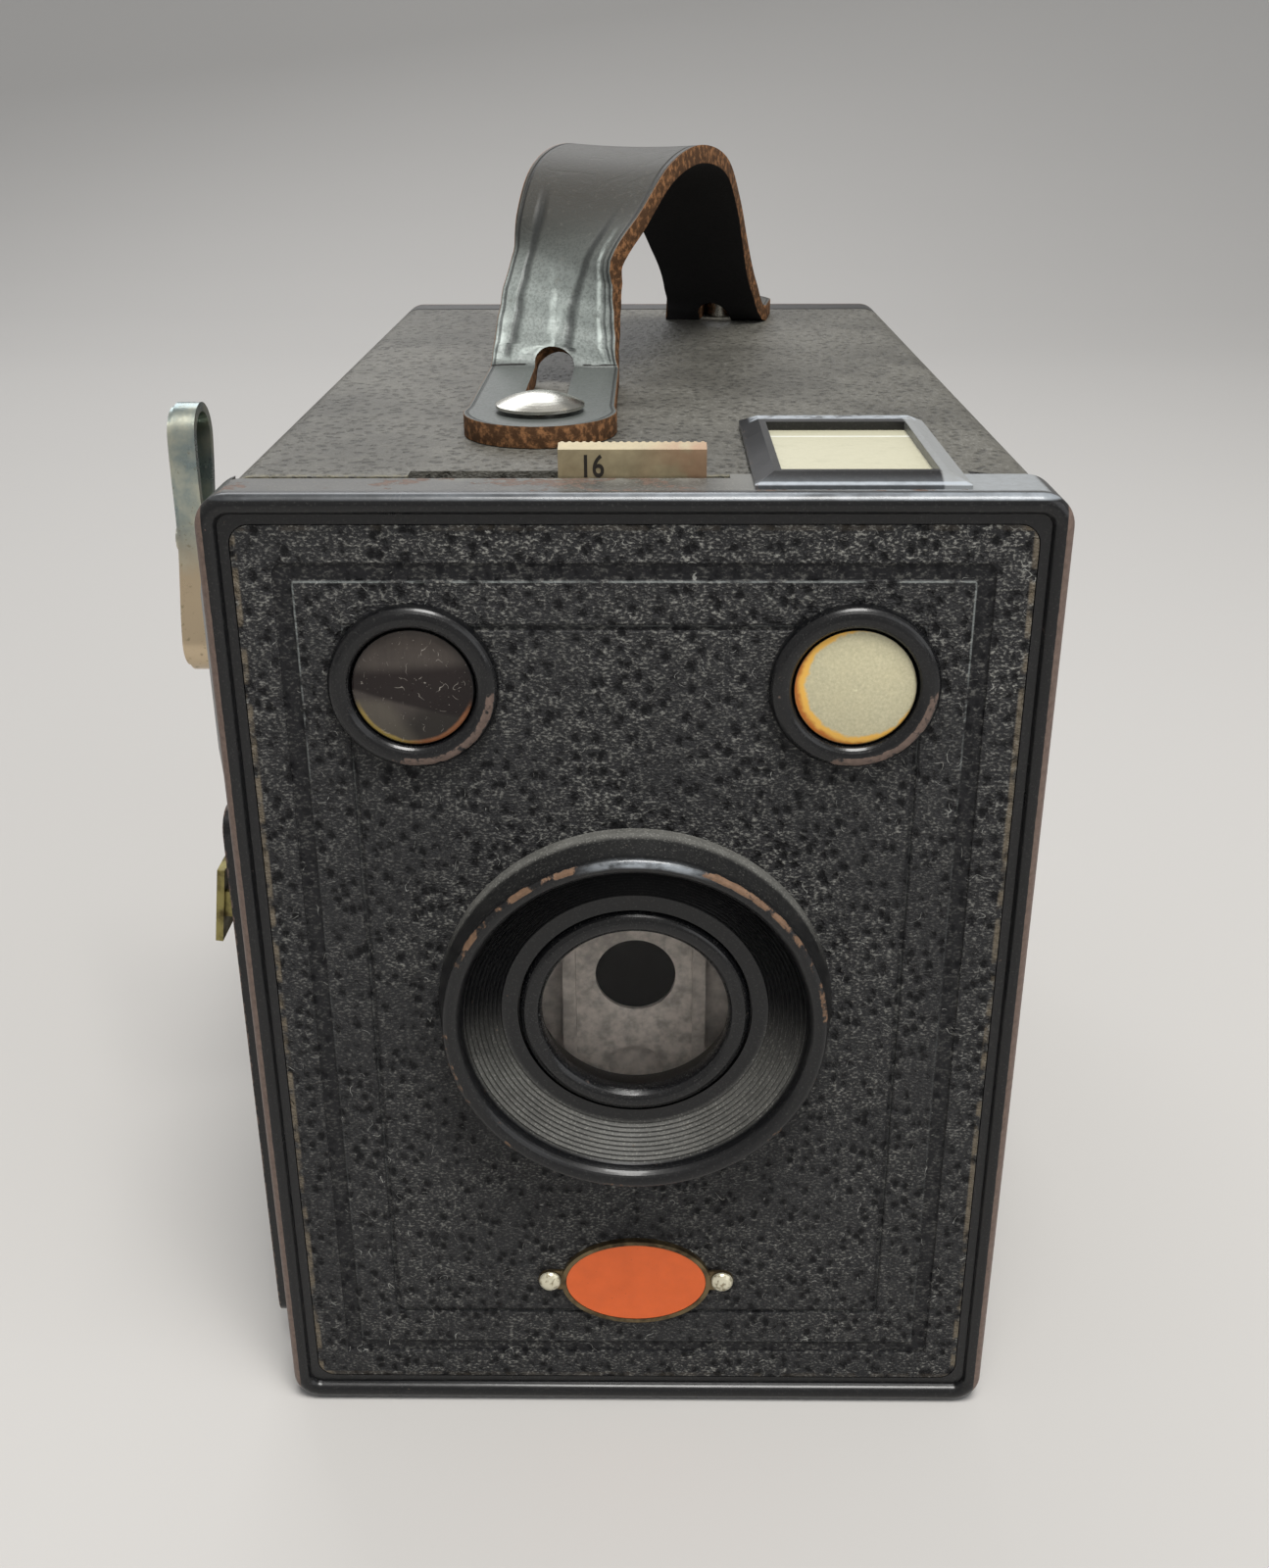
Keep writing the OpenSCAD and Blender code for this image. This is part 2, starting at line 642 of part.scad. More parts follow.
// The return spring hangs from its post and holds the lever's arm up
coil_r = 1.1;
wire_r = 0.22;
coil_turns = 12;
coil_steps = 12;
coil_sides = 6;
arm_rise = (lever_x - spring_x) * tan(lever_half);
coil_low = lever_z + arm_rise + 1.9;
coil_high = spring_top - 1.3;
function coil_point(i) = let (n = coil_turns * coil_steps, a = 360 * i / coil_steps)
    [coil_r * cos(a), coil_r * sin(a), coil_low + (coil_high - coil_low) * i / n];
module return_spring() color([0.6, 0.6, 0.6]) translate([spring_x, front + lever_d + plate_t / 2, 0]) {
    n = coil_turns * coil_steps;
    points = [for (i = [0:n], k = [0:coil_sides - 1])
        let (c = coil_point(i), a = 360 * i / coil_steps, b = 360 * k / coil_sides)
            c + [wire_r * cos(b) * cos(a), wire_r * cos(b) * sin(a), wire_r * sin(b)]];
    walls = [for (i = [0:n - 1], k = [0:coil_sides - 1]) let (m = (k + 1) % coil_sides)
        each [[i * coil_sides + k, (i + 1) * coil_sides + k, (i + 1) * coil_sides + m],
            [i * coil_sides + k, (i + 1) * coil_sides + m, i * coil_sides + m]]];
    ends = [[for (k = [0:coil_sides - 1]) k], [for (k = [coil_sides - 1:-1:0]) n * coil_sides + k]];
    polyhedron(points, concat(walls, ends));
}

// The guard is a long shallow channel on the side, open towards the lever's arm
guard_w = 5;
guard_h = 3.8;
guard_low = 4.5;
guard_high = lens_z + 18;
guard_t = 0.5;
arm_slot_half = 6.2;
module guard_shape(inset, h) {
    translate([-cover_half, front + seam_d, 0]) rotate([0, -90, 0]) linear_extrude(height = h)
        round_rect(guard_low + inset, inset, guard_high - inset, guard_w - inset, guard_w / 2 - inset - 0.01);
}
module lever_guard() color([0.05, 0.05, 0.07]) difference() {
    guard_shape(0, guard_h);
    translate([0.01, 0, 0]) guard_shape(guard_t, guard_h - guard_t);
    block([-cap_half - 6, lever_d - 0.25, lever_z - arm_slot_half],
        [-cap_half, lever_d + plate_t + 0.25, lever_z + arm_slot_half]);
}

// The aperture slide: two stops, and a tab whose toothed lip is folded back and slightly up
slide_low = lens_z - stop_pitch - 8.5;
slide_t = 0.5;
tab_top = cover_top + tab_up;
lip = 1.7;
lip_rise = 0.4;
teeth = 20;
module aperture_slide() color([0.72, 0.62, 0.42]) difference() {
    union() {
        slab(slide_d, slide_t) translate([slide_x - tab_half, slide_low])
            square([slide_w, tab_top - lip_rise - slide_low - 0.5]);
        translate([slide_x, front + slide_d, tab_top]) extrude_across(tab_half)
            polygon([[0, -lip_rise - 0.6], [0, -lip_rise], [lip, 0], [lip, -slide_t],
                [slide_t, -lip_rise - 0.4], [slide_t, -lip_rise - 0.6]]);
    }
    bar_y(0, lens_z, slide_d - 1, 2, stop_large_r);
    bar_y(0, lens_z - stop_pitch, slide_d - 1, 2, stop_small_r);
    for (i = [0:teeth]) translate([slide_x - tab_half + i * slide_w / teeth, front + slide_d + lip, tab_top - 1])
        cylinder(r = 0.22, h = 2, $fn = 16);
}

module time_slide() color([0.7, 0.6, 0.42]) slab(time_d, plate_t) {
    round_rect(time_x0, time_shoulder, time_x1, time_top, 0.8);
    translate([neck_x0, time_low]) square([neck_x1 - neck_x0, time_shoulder - time_low + 1]);
}

// The release lever: hub, long arm to the pad, and a short fork for the disc's pin
hub_out = 2.9;
fork_in = disc_pin_at + 3;
fork_out = 1.2;
pad_h = 8.6;
pad_d = 5.6;
pad_t = 0.8;
module release_lever() color([0.62, 0.55, 0.3]) {
    translate([lever_x, 0, lever_z]) rotate([0, lever_half, 0]) difference() {
        union() {
            slab(lever_d, plate_t) {
                circle(r = hub_out);
                translate([-lever_len, -1.5]) square([lever_len, 3]);
                rotate(pivot_angle) translate([0, -2.3]) square([pivot_dist - fork_out, 4.6]);
            }
            block([-lever_len, lever_d, -pad_h / 2], [-lever_len + pad_t, lever_d + pad_d, pad_h / 2]);
            block([-lever_len, lever_d - 0.6, -pad_h / 2], [-lever_len + pad_t, lever_d + 0.1, pad_h / 2]);
        }
        bar_y(0, 0, lever_d - 1, 3, 1.5 + fit);
        slab(lever_d - 1, 3) rotate(pivot_angle)
            translate([pivot_dist - fork_in, -1.25]) square([fork_in, 2.5]);
        for (s = [-1, 1]) pad_corner(s);
    }
}
// Rounds the pad's free rear corners
module pad_corner(s) {
    r = 2;
    translate([-lever_len - 1, front + lever_d + pad_d - r, s * (pad_h / 2 - r)]) difference() {
        translate([0, 0, s > 0 ? 0 : -r - 1]) cube([pad_t + 2, r + 1, r + 1]);
        rotate([0, 90, 0]) cylinder(r = r, h = pad_t + 2);
    }
}

// The shutter disc: a sector with one hole, turned from its middle place to rest
disc_t = 0.4;
disc_hole_r = 4.5;
sector_half = disc_half + 22;
disc_out = disc_hole_at + disc_hole_r + 2;
module shutter_disc() color([0.12, 0.12, 0.12]) translate([disc_x, 0, disc_z]) rotate([0, -disc_half, 0])
    difference() {
        union() {
            slab(disc_d, disc_t) {
                circle(r = 3.4);
                intersection() {
                    circle(r = disc_out, $fn = 96);
                    rotate(disc_hole_angle) polygon(concat([[0, 0]],
                        [for (a = [-sector_half:sector_half / 4:sector_half]) 2 * disc_out * [cos(a), sin(a)]]));
                }
            }
            rotate([0, -pivot_angle - 180, 0]) bar_y(disc_pin_at, 0, lever_d - 0.1, disc_d - lever_d + 0.3, 0.7);
        }
        bar_y(0, 0, disc_d - 1, 3, 1.2 + fit);
        rotate([0, -disc_hole_angle, 0]) bar_y(disc_hole_at, 0, disc_d - 1, 3, disc_hole_r);
    }

// ---------------------------------------------------------------- taking lens

cell_len = 5;
cell_d = board_d + board_t;
lens_front = cell_d + 1;
lens_edge = 2;
module lens_cell() color([0.15, 0.15, 0.15]) turned(0, lens_z) polygon([
    [lens_r - 1.1, cell_d], [lens_r + 2.5, cell_d], [lens_r + 2.5, cell_d + 0.8], [lens_r + 1.3, cell_d + 0.8],
    [lens_r + 1.3, cell_d + cell_len], [lens_r + fit, cell_d + cell_len], [lens_r + fit, lens_front],
    [lens_r - 1.1, lens_front]
]);

// Meniscus: hollow towards the stop, crowned towards the film
function bow(r, sag, depth) = let (R = (lens_r * lens_r + sag * sag) / (2 * sag)) depth + sag - (R - sqrt(R * R - r * r));
module meniscus_lens() color([0.7, 0.75, 0.78, 0.4]) turned(0, lens_z) polygon(concat(
    [for (i = [0:10]) let (r = lens_r * i / 10) [r, bow(r, 0.6, lens_front)]],
    [for (i = [10:-1:0]) let (r = lens_r * i / 10) [r, bow(r, 1.4, lens_front + lens_edge)]]
));
module lens_retainer() color([0.3, 0.3, 0.3]) turned(0, lens_z) polygon([
    [lens_r - 1, lens_front + lens_edge + 0.45], [lens_r, lens_front + lens_edge + 0.05],
    [lens_r, lens_front + lens_edge + 1], [lens_r - 1, lens_front + lens_edge + 1]
]);

// ---------------------------------------------------------------- body shell and covering

bush_r = 4;
bush_hole = bush_r + 0.05;
side_slot_low = lever_z - arm_slot_half - 0.5;
side_slot_high = lever_z + arm_slot_half + 0.5;
socket_d = 75;
socket_z = mid_z;
socket_r = 6;
catch_z = body_h - 12;
catch_root = body_back - 14;
catch_rivet_r = 1;

// Everything that passes through the shell and the covering
module body_openings() {
    finder_opening_top(99);
    finder_opening_side(99);
    block([time_x0 - 0.9, seam_d - 8, in_top - 1], [time_x1 + 0.7, seam_d + 2.3, body_h + 1]);
    block([slit_left, 0, in_top - 1], [slit_right, seam_d, body_h + 1]);
    block([-cap_half, seam_d - 8, side_slot_low], [-in_half + 1, lever_d + plate_t + 0.5, side_slot_high]);
    bar_x(-cap_half - 1, 5, spool_d, takeup_z, bush_hole);
    for (p = [stud_front, stud_rear])
        translate([p[0], front + p[1], in_top - 1]) cylinder(r = stud_neck_r + fit, h = 5);
    translate([0, front + socket_d, -1]) cylinder(r = socket_r + fit, h = 5);
    bar_x(in_half - 1, 5, socket_d, socket_z, socket_r + fit);
    block([-cap_half, floor_cut_d, -1], [cap_half, body_d, 3.4]);
    bar_x(in_half - 1, 5, catch_root, catch_z, catch_rivet_r + fit);
}

// The shell is four folded sheets, butted below and above the bends
seam_low = shell_low + shell_r + 1;
seam_high = shell_top - shell_r - 1;
seam_gap = 0.04;
module body_shell() color([0.12, 0.12, 0.13]) difference() {
    slab(panel_d + sheet + 0.1, body_back - panel_d - sheet - 0.1) difference() {
        shell_outline();
        inner_outline();
    }
    body_openings();
    for (z = [seam_low, seam_high]) block([-cap_half, 0, z], [cap_half, body_d, z + seam_gap]);
}

module body_covering() color([0.13, 0.13, 0.14]) difference() {
    slab(seam_d, body_back - seam_d) difference() {
        cover_outline();
        shell_outline();
    }
    body_openings();
}

// The inner frame that the door closes over
trap_gap = 1;
trap_len = 15.6;
trap_back = door_in - trap_gap;
trap_d = trap_back - trap_len;
trap_low = 3.6;
module light_trap_frame() color([0.1, 0.1, 0.1]) difference() {
    slab(trap_d, trap_back - trap_d) difference() {
        round_rect(-in_half, trap_low, in_half, in_top, in_r);
        round_rect(-in_half + sheet, trap_low + sheet, in_half - sheet, in_top - sheet, in_r - sheet);
    }
    translate([stud_rear[0], front + stud_rear[1], in_top - 5]) cylinder(r = washer_r + gap, h = 9);
}

// ---------------------------------------------------------------- film carrier

roller_d = gate_d - 1.5;
roller_low_z = in_low + 5.6;
roller_top_z = in_top - 5.3;
roller_pin_r = 1;
cone_d = 18;
cone_half = 8.5;
cone_t = 0.8;
key_hole_r = blade_half + 0.3;

module carrier_sides() color([0.16, 0.16, 0.16]) difference() {
    for (s = [-1, 1]) translate([s > 0 ? side_in : -side_in - side_t, 0, 0]) difference() {
        block([0, side_front, in_low], [side_t, gate_d, in_top - sheet - gap]);
        block([-1, trap_d - gap, 0], [side_t + 1, body_d, trap_low + sheet + gap]);
    }
    bar_x(-side_in - 2, 3, spool_d, takeup_z, key_hole_r);
    bar_x(side_in - 1, 3, spool_d, takeup_z, spool_bore_r + fit);
    for (x = [-side_in - 2, side_in - 1]) {
        bar_x(x, 3, spool_d, supply_z, spool_bore_r + fit);
        for (z = [roller_top_z, roller_low_z]) bar_x(x, 3, roller_d, z, roller_pin_r + fit);
    }
}

module cone_shape(grow, d0, d1) {
    hull() {
        slab(d0, 0.01) translate([-cone_half - grow, lens_z - cone_half - grow])
            square(2 * (cone_half + grow));
        slab(d1 - 0.01, 0.01) translate([-gate_w / 2 - grow, mid_z - gate_h / 2 - grow])
            square([gate_w + 2 * grow, gate_h + 2 * grow]);
    }
}
module light_cone() color([0.1, 0.1, 0.1]) difference() {
    union() {
        cone_shape(cone_t, cone_d, gate_d);
        // Webs that tie the cone to the carrier's side plates
        block([-side_in, gate_d - 40, lens_z - 0.6], [side_in, gate_d - 8, lens_z + 0.6]);
    }
    cone_shape(0, cone_d - 1, gate_d + 1);
}

module film_gate() color([0.4, 0.4, 0.4]) slab(gate_d, 0.8) difference() {
    translate([-side_in - side_t, mid_z - gate_h / 2 - 2.5]) square([2 * (side_in + side_t), gate_h + 5]);
    translate([-gate_w / 2, mid_z - gate_h / 2]) square([gate_w, gate_h]);
}

module roller(z) color([0.75, 0.75, 0.75]) {
    bar_x(-side_in + gap, 2 * side_in - 2 * gap, roller_d, z, roller_r);
    bar_x(-side_in - side_t, 2 * (side_in + side_t), roller_d, z, roller_pin_r);
}
module roller_top() {
    roller(roller_top_z);
}
module roller_bottom() {
    roller(roller_low_z);
}

// A film spool: core, two flanges, round end holes and a slot across each end
module spool(z) difference() {
    union() {
        bar_x(-spool_len / 2, spool_len, spool_d, z, spool_core_r);
        for (x = [-spool_len / 2, spool_len / 2 - 0.8]) bar_x(x, 0.8, spool_d, z, spool_flange_r);
    }
    for (x = [-spool_len / 2 - 1, spool_len / 2 - 5]) bar_x(x, 6, spool_d, z, spool_bore_r);
    for (s = [-1, 1]) translate([s * spool_len / 2, front + spool_d, z])
        cube([6.4, blade_t + 0.4, 2 * blade_half + 0.4], center = true);
}
module takeup_spool() color([0.3, 0.3, 0.32]) spool(takeup_z);
module supply_spool() color([0.3, 0.3, 0.32]) spool(supply_z);

// Stepped pins that carry the spools, headed on the outside of the carrier's sides
pin_in = 3;
module spool_pin(s, z) {
    x0 = side_in - pin_in - 0.4;
    intersection() {
        mirror([s > 0 ? 0 : 1, 0, 0]) union() {
            bar_x(x0, pin_in + 0.4 + side_t + 0.1, spool_d, z, spool_bore_r - 0.08);
            bar_x(side_in + side_t, 1.2, spool_d, z, 5);
        }
        block([-in_half, 0, 0], [in_half, body_d, body_h]);
    }
}
module spool_pins() color([0.7, 0.66, 0.55]) {
    spool_pin(1, takeup_z);
    spool_pin(1, supply_z);
    spool_pin(-1, supply_z);
}

// ---------------------------------------------------------------- winding key

bush_out = cover_half + 1.2;
bush_flange_r = 6.5;
key_in = cap_half + 9.6;
key_stem_r = 3.2;
module key_bush() color([0.65, 0.62, 0.55]) difference() {
    union() {
        bar_x(-cover_half - 1.2, cover_half + 1.2 - in_half, spool_d, takeup_z, bush_r);
        bar_x(-cover_half - 1, 1, spool_d, takeup_z, bush_flange_r);
    }
    bar_x(-cover_half - 3, 8, spool_d, takeup_z, key_shaft_r + fit);
}

// The pressed wings: a long plate with round ends and edges turned in towards the body
module key_outline(inset) {
    half = key_len / 2;
    end_r = key_w / 2 - inset;
    for (s = [-1, 1]) translate([s * (half - key_w / 2), 0]) circle(r = end_r);
    waist = key_w * 0.36 - inset;
    polygon(concat(
        [for (i = [-10:10]) let (x = (half - key_w / 2) * i / 10)
            [x, -waist - (end_r - waist) * pow(sin(9 * abs(i)), 2)]],
        [for (i = [10:-1:-10]) let (x = (half - key_w / 2) * i / 10)
            [x, waist + (end_r - waist) * pow(sin(9 * abs(i)), 2)]]
    ));
}
module key_wings(inset, x0, x1) {
    translate([-x0, 0, 0]) rotate([0, -90, 0]) linear_extrude(height = x1 - x0) key_outline(inset);
}
module winding_key() color([0.72, 0.73, 0.7]) translate([0, front + spool_d, takeup_z]) {
    rotate([-key_turn, 0, 0]) difference() {
        union() {
            key_wings(0.5, key_reach - 0.6, key_reach);
            key_wings(0, key_reach - 3.4, key_reach - 0.6);
        }
        key_wings(1.1, key_reach - 4, key_reach - 1.1);
    }
    translate([-key_reach - 0.5, 0, 0]) rotate([0, 90, 0]) cylinder(r = 1.6, h = 2);
    translate([-key_reach + 0.9, 0, 0]) rotate([0, 90, 0])
        cylinder(r = key_stem_r - 0.5, h = key_reach - 0.9 - bush_out - 0.3);
    translate([-bush_out - 1, 0, 0]) rotate([0, 90, 0])
        cylinder(r = key_shaft_r, h = bush_out + 1 - spool_len / 2 + 2.6);
    translate([-spool_len / 2, -blade_t / 2, -blade_half]) cube([2.7, blade_t, 2 * blade_half]);
}

// ---------------------------------------------------------------- door

window_x = 0;
red_z = mid_z - 10;
knuckle_gap = 0.3;
module door_outline(inset) {
    round_rect(-cover_half + inset, inset, cover_half - inset, cover_top - inset, edge_r - inset);
}
module rear_door() color([0.1, 0.1, 0.11]) difference() {
    union() {
        slab(door_front, door_in - door_front + 0.05) difference() {
            door_outline(0);
            door_outline(sheet);
        }
        slab(door_in, sheet) door_outline(0);
    }
    bar_y(window_x, red_z, door_in - 1, 4, red_r + 0.1);
    block([-hinge_half - 1, door_front - 1, -1], [hinge_half + 1, hinge_d + hinge_r + 0.4, hinge_z + 2]);
}
module door_covering() color([0.13, 0.13, 0.14]) slab(door_in + sheet, body_d - door_in - sheet) difference() {
    door_outline(1.2);
    translate([window_x, red_z]) circle(r = red_r + 1.6);
}
module red_window() color([0.55, 0.05, 0.04, 0.6])
    bar_y(window_x, red_z, door_in - 0.5, 0.8, red_r);
module red_window_ring() color([0.08, 0.08, 0.09]) turned(window_x, red_z) polygon([
    [red_r - 0.9, door_in + 0.35], [red_r, door_in + 0.35], [red_r, door_in + sheet],
    [red_r + 1.5, door_in + sheet], [red_r + 1.5, body_d + 0.1], [red_r + 1, body_d + 0.4],
    [red_r - 0.4, body_d + 0.4], [red_r - 0.9, body_d]
]);

module knuckle(x0, x1) {
    bar_x(x0, x1 - x0, hinge_d, hinge_z, hinge_r);
}
// The door's leaf with the middle knuckle
module door_hinge() color([0.6, 0.58, 0.5]) difference() {
    union() {
        knuckle(-hinge_mid + knuckle_gap, hinge_mid - knuckle_gap);
        block([-hinge_mid + knuckle_gap, hinge_d, hinge_z - 0.4], [hinge_mid - knuckle_gap, door_in, hinge_z + 0.2]);
        block([-hinge_mid + knuckle_gap, door_in - 0.6, hinge_z - 0.4], [hinge_mid - knuckle_gap, door_in, hinge_z + 7]);
    }
    bar_x(-hinge_half, 2 * hinge_half, hinge_d, hinge_z, hinge_pin_r + fit);
}
// The body's leaf with the outer knuckles and the pin
module body_hinge() color([0.6, 0.58, 0.5]) {
    difference() {
        union() {
            knuckle(-hinge_half, -hinge_mid);
            knuckle(hinge_mid, hinge_half);
            for (s = [-1, 1]) translate([s * (hinge_half + hinge_mid) / 2, 0, 0])
                block([-(hinge_half - hinge_mid) / 2, floor_cut_d - 8, in_low],
                    [(hinge_half - hinge_mid) / 2, hinge_d, in_low + 0.6]);
        }
    }
    bar_x(-hinge_half, 2 * hinge_half, hinge_d, hinge_z, hinge_pin_r);
}

// A catch on the right side: it turns on its rivet, and its end lies over the door's edge
catch_reach = 19;
catch_w = 9;
catch_t = 0.5;
rivet_head_r = 2.2;
catch_x = cover_half + 0.15;
module door_catch() color([0.75, 0.73, 0.66]) {
    bar_x(catch_x, catch_t, catch_root, catch_z, catch_w / 2);
    block([catch_x, catch_root, catch_z - catch_w / 2],
        [catch_x + catch_t, catch_root + catch_reach, catch_z + catch_w / 2]);
    block([catch_x, catch_root + catch_reach - 0.1, catch_z - catch_w / 2],
        [cover_half + 2.2, catch_root + catch_reach + 0.4, catch_z + catch_w / 2]);
    bar_x(cover_half, catch_x + catch_t - cover_half, catch_root, catch_z, rivet_head_r);
    bar_x(catch_x + catch_t - 0.05, 0.6, catch_root, catch_z, rivet_head_r - 0.3);
    bar_x(in_half - 0.4, catch_x - in_half + 0.5, catch_root, catch_z, catch_rivet_r);
    bar_x(in_half - 0.4, 0.4, catch_root, catch_z, catch_rivet_r + 0.6);
}

// ---------------------------------------------------------------- strap

top_z = cover_top + strap_gap;
strap_steps = 6;
arch_last = len(strap_route) - 2;
// A smooth curve through the route's points
function blend4(a, b, c, d, t) =
    0.5 * (2 * b + (c - a) * t + (2 * a - 5 * b + 4 * c - d) * t * t + (3 * b - a - 3 * c + d) * t * t * t);
function route(i) = strap_route[max(0, min(len(strap_route) - 1, i))];
function strap_at(u) = let (i = floor(u)) blend4(route(i - 1), route(i), route(i + 1), route(i + 2), u - i);
function unit(v) = v / norm(v);
// Corners of the strap's section at station u: low left, low right, high right, high left
function strap_ring(u) =
    let (
        p = strap_at(u),
        a = strap_at(max(1, u - 0.05)),
        b = strap_at(min(arch_last - 0.001, u + 0.05)),
        along = unit([b[0] - a[0], b[1] - a[1], b[2] - a[2]]),
        side = unit([along[1], -along[0], 0]),
        up = cross(side, along),
        m = [p[0], front + p[1], top_z + max(0, p[2])]
    )
    [m - p[3] * side, m + p[3] * side, m + p[3] * side + strap_t * up, m - p[3] * side + strap_t * up];
module strap_arch() {
    n = (arch_last - 1) * strap_steps;
    rings = [for (k = [0:n]) strap_ring(min(arch_last - 0.001, 1 + k / strap_steps))];
    points = [for (r = rings, p = r) p];
    walls = [for (k = [0:n - 1], j = [0:3]) let (m = (j + 1) % 4)
        each [[4 * k + j, 4 * k + 4 + m, 4 * k + 4 + j], [4 * k + j, 4 * k + m, 4 * k + 4 + m]]];
    polyhedron(points, concat(walls, [[0, 3, 2], [0, 2, 1], [4 * n, 4 * n + 1, 4 * n + 2], [4 * n, 4 * n + 2, 4 * n + 3]]));
}
// A flat end with its stud at p, reaching by len from the stud to the arch in the direction of turn
module strap_tab(p, len, turn, slot_len) {
    translate([p[0], front + p[1], top_z]) rotate([0, 0, turn]) linear_extrude(height = strap_t) difference() {
        union() {
            circle(r = strap_end_r);
            translate([-strap_half, 0]) square([2 * strap_half, len]);
        }
        circle(r = slot_w / 2, $fn = 32);
        translate([-slot_w / 2, 0]) square([slot_w, slot_len]);
    }
}
module strap() color([0.16, 0.17, 0.19]) {
    strap_tab(stud_front, 27.8 * lay, 0, 26 * lay);
    difference() {
        strap_arch();
        translate([stud_rear[0], front + stud_rear[1], top_z - 1]) rotate([0, 0, rear_turn])
            translate([-slot_w / 2, 0, 0]) cube([slot_w, 12, 20]);
    }
    strap_tab(stud_rear, 6, rear_turn, 7);
}

stud_under = strap_t + 0.5;
stud_dome = 1.3;
module strap_studs() color([0.78, 0.76, 0.66]) for (p = [stud_front, stud_rear])
    translate([p[0], front + p[1], 0]) rotate_extrude() polygon(concat(
        [[0, in_top - 0.8], [washer_r, in_top - 0.8], [washer_r, in_top], [stud_neck_r, in_top]],
        [[stud_neck_r, top_z + stud_under], [stud_r, top_z + stud_under]],
        [for (i = [0:10]) let (r = stud_r * (1 - i / 10))
            [r, top_z + stud_under + 0.3 + stud_dome * (1 - pow(r / stud_r, 2))]]
    ));

// ---------------------------------------------------------------- tripod sockets

socket_flange_r = 7.5;
bottom_depth = 7;
module tripod_sockets() color([0.7, 0.66, 0.5]) {
    translate([0, front + socket_d, 0]) difference() {
        union() {
            cylinder(r = socket_r, h = bottom_depth);
            translate([0, 0, in_low]) cylinder(r = socket_flange_r, h = 1);
        }
        translate([0, 0, -1]) cylinder(r = tripod_r, h = bottom_depth);
    }
    difference() {
        union() {
            bar_x(side_in + side_t + gap, cover_half - side_in - side_t - gap, socket_d, socket_z, socket_r);
            bar_x(in_half - 1, 1, socket_d, socket_z, socket_flange_r);
        }
        bar_x(side_in + side_t + gap + 0.5, 10, socket_d, socket_z, tripod_r);
    }
}

front_cap();
front_covering();
lens_ring();
glass_ring();
front_glass();
finder_ring(-finder_x);  // finder_ring_left
finder_ring(finder_x);  // finder_ring_right
finder_lens(-finder_x);  // finder_lens_left
finder_lens(finder_x);  // finder_lens_right
finder_housing_side();
finder_housing_top();
finder_mirror_side();
finder_mirror_top();
finder_frame_side();
finder_frame_top();
finder_window_side();
finder_window_top();
badge_plate();
badge_enamel();
badge_pins();
shutter_board();
mechanism_plate();
mechanism_pillars();
slide_rails();
time_slide_guide();
lever_pivot();
disc_pivot();
spring_post();
return_spring();
lever_guard();
aperture_slide();
time_slide();
release_lever();
shutter_disc();
lens_cell();
meniscus_lens();
lens_retainer();
body_shell();
body_covering();
light_trap_frame();
carrier_sides();
light_cone();
film_gate();
roller_top();
roller_bottom();
takeup_spool();
supply_spool();
spool_pins();
key_bush();
winding_key();
rear_door();
door_covering();
door_hinge();
body_hinge();
red_window();
red_window_ring();
door_catch();
strap();
strap_studs();
tripod_sockets();
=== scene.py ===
"""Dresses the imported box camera: its strap, its finishes, and the stage that it stands on."""

import math

import bpy
import numpy as np
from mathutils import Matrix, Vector


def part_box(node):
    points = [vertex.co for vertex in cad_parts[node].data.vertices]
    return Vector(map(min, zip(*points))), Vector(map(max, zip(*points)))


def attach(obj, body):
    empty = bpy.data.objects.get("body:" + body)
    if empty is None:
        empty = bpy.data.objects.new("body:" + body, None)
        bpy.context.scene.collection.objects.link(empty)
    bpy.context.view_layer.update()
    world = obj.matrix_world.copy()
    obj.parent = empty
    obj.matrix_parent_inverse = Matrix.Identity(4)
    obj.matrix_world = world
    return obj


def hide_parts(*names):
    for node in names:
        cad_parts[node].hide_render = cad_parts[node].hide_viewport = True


bl_info = {
    "name": "Roll Film Box Camera",
    "version": (1, 0, 0),
    "blender": (4, 5, 0),
    "location": "3D View > Sidebar > Box Camera",
    "description": "Adds the strap, the finishes and the stage of an old box camera",
    "category": "Object",
}

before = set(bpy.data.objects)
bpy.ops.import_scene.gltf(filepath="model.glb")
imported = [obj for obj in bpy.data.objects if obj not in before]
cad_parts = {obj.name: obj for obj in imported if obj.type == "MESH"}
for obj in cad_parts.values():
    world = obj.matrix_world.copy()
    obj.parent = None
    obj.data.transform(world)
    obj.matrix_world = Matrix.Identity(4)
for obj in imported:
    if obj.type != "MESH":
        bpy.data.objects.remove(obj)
bpy.ops.object.select_all(action="DESELECT")
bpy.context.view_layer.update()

MM = 0.001

# The front plate's face, half width and top, the top covering's face, and the middles of lens and finders
FRONT = -65 * MM
CAP_HALF = 40 * MM
CAP_TOP = 108 * MM
TOP = 107.7 * MM
LENS_Z = 54 * MM
FINDER_X = 20.9 * MM
FINDER_Z = 89.4 * MM

# Radii of the lens ring's outer wall, its rolled crest, its cone's rim and foot, and the finder rings' slope
WALL_RADIUS = 19.6 * MM
CREST_RADIUS = 19.2 * MM
CONE_RIM = 17.6 * MM
CONE_FOOT = 13.2 * MM
FINDER_SLOPE = 7.35 * MM

# Lines on the front covering, measured inwards from the front plate's outline
RUB_LINE = 3.25 * MM
BORDER_BAND = 7.45 * MM
BAND_EDGE = 8.4 * MM
GROOVE_EDGE = 12.7 * MM
BORDER_GROOVE = 12.85 * MM

# Outer edges that are rubbed: the side guard's, the rear door's and the window frames' left one
GUARD_EDGE = -43.1 * MM
DOOR_FACE = FRONT + 129.2 * MM
FRAME_LEFT = 11.2 * MM

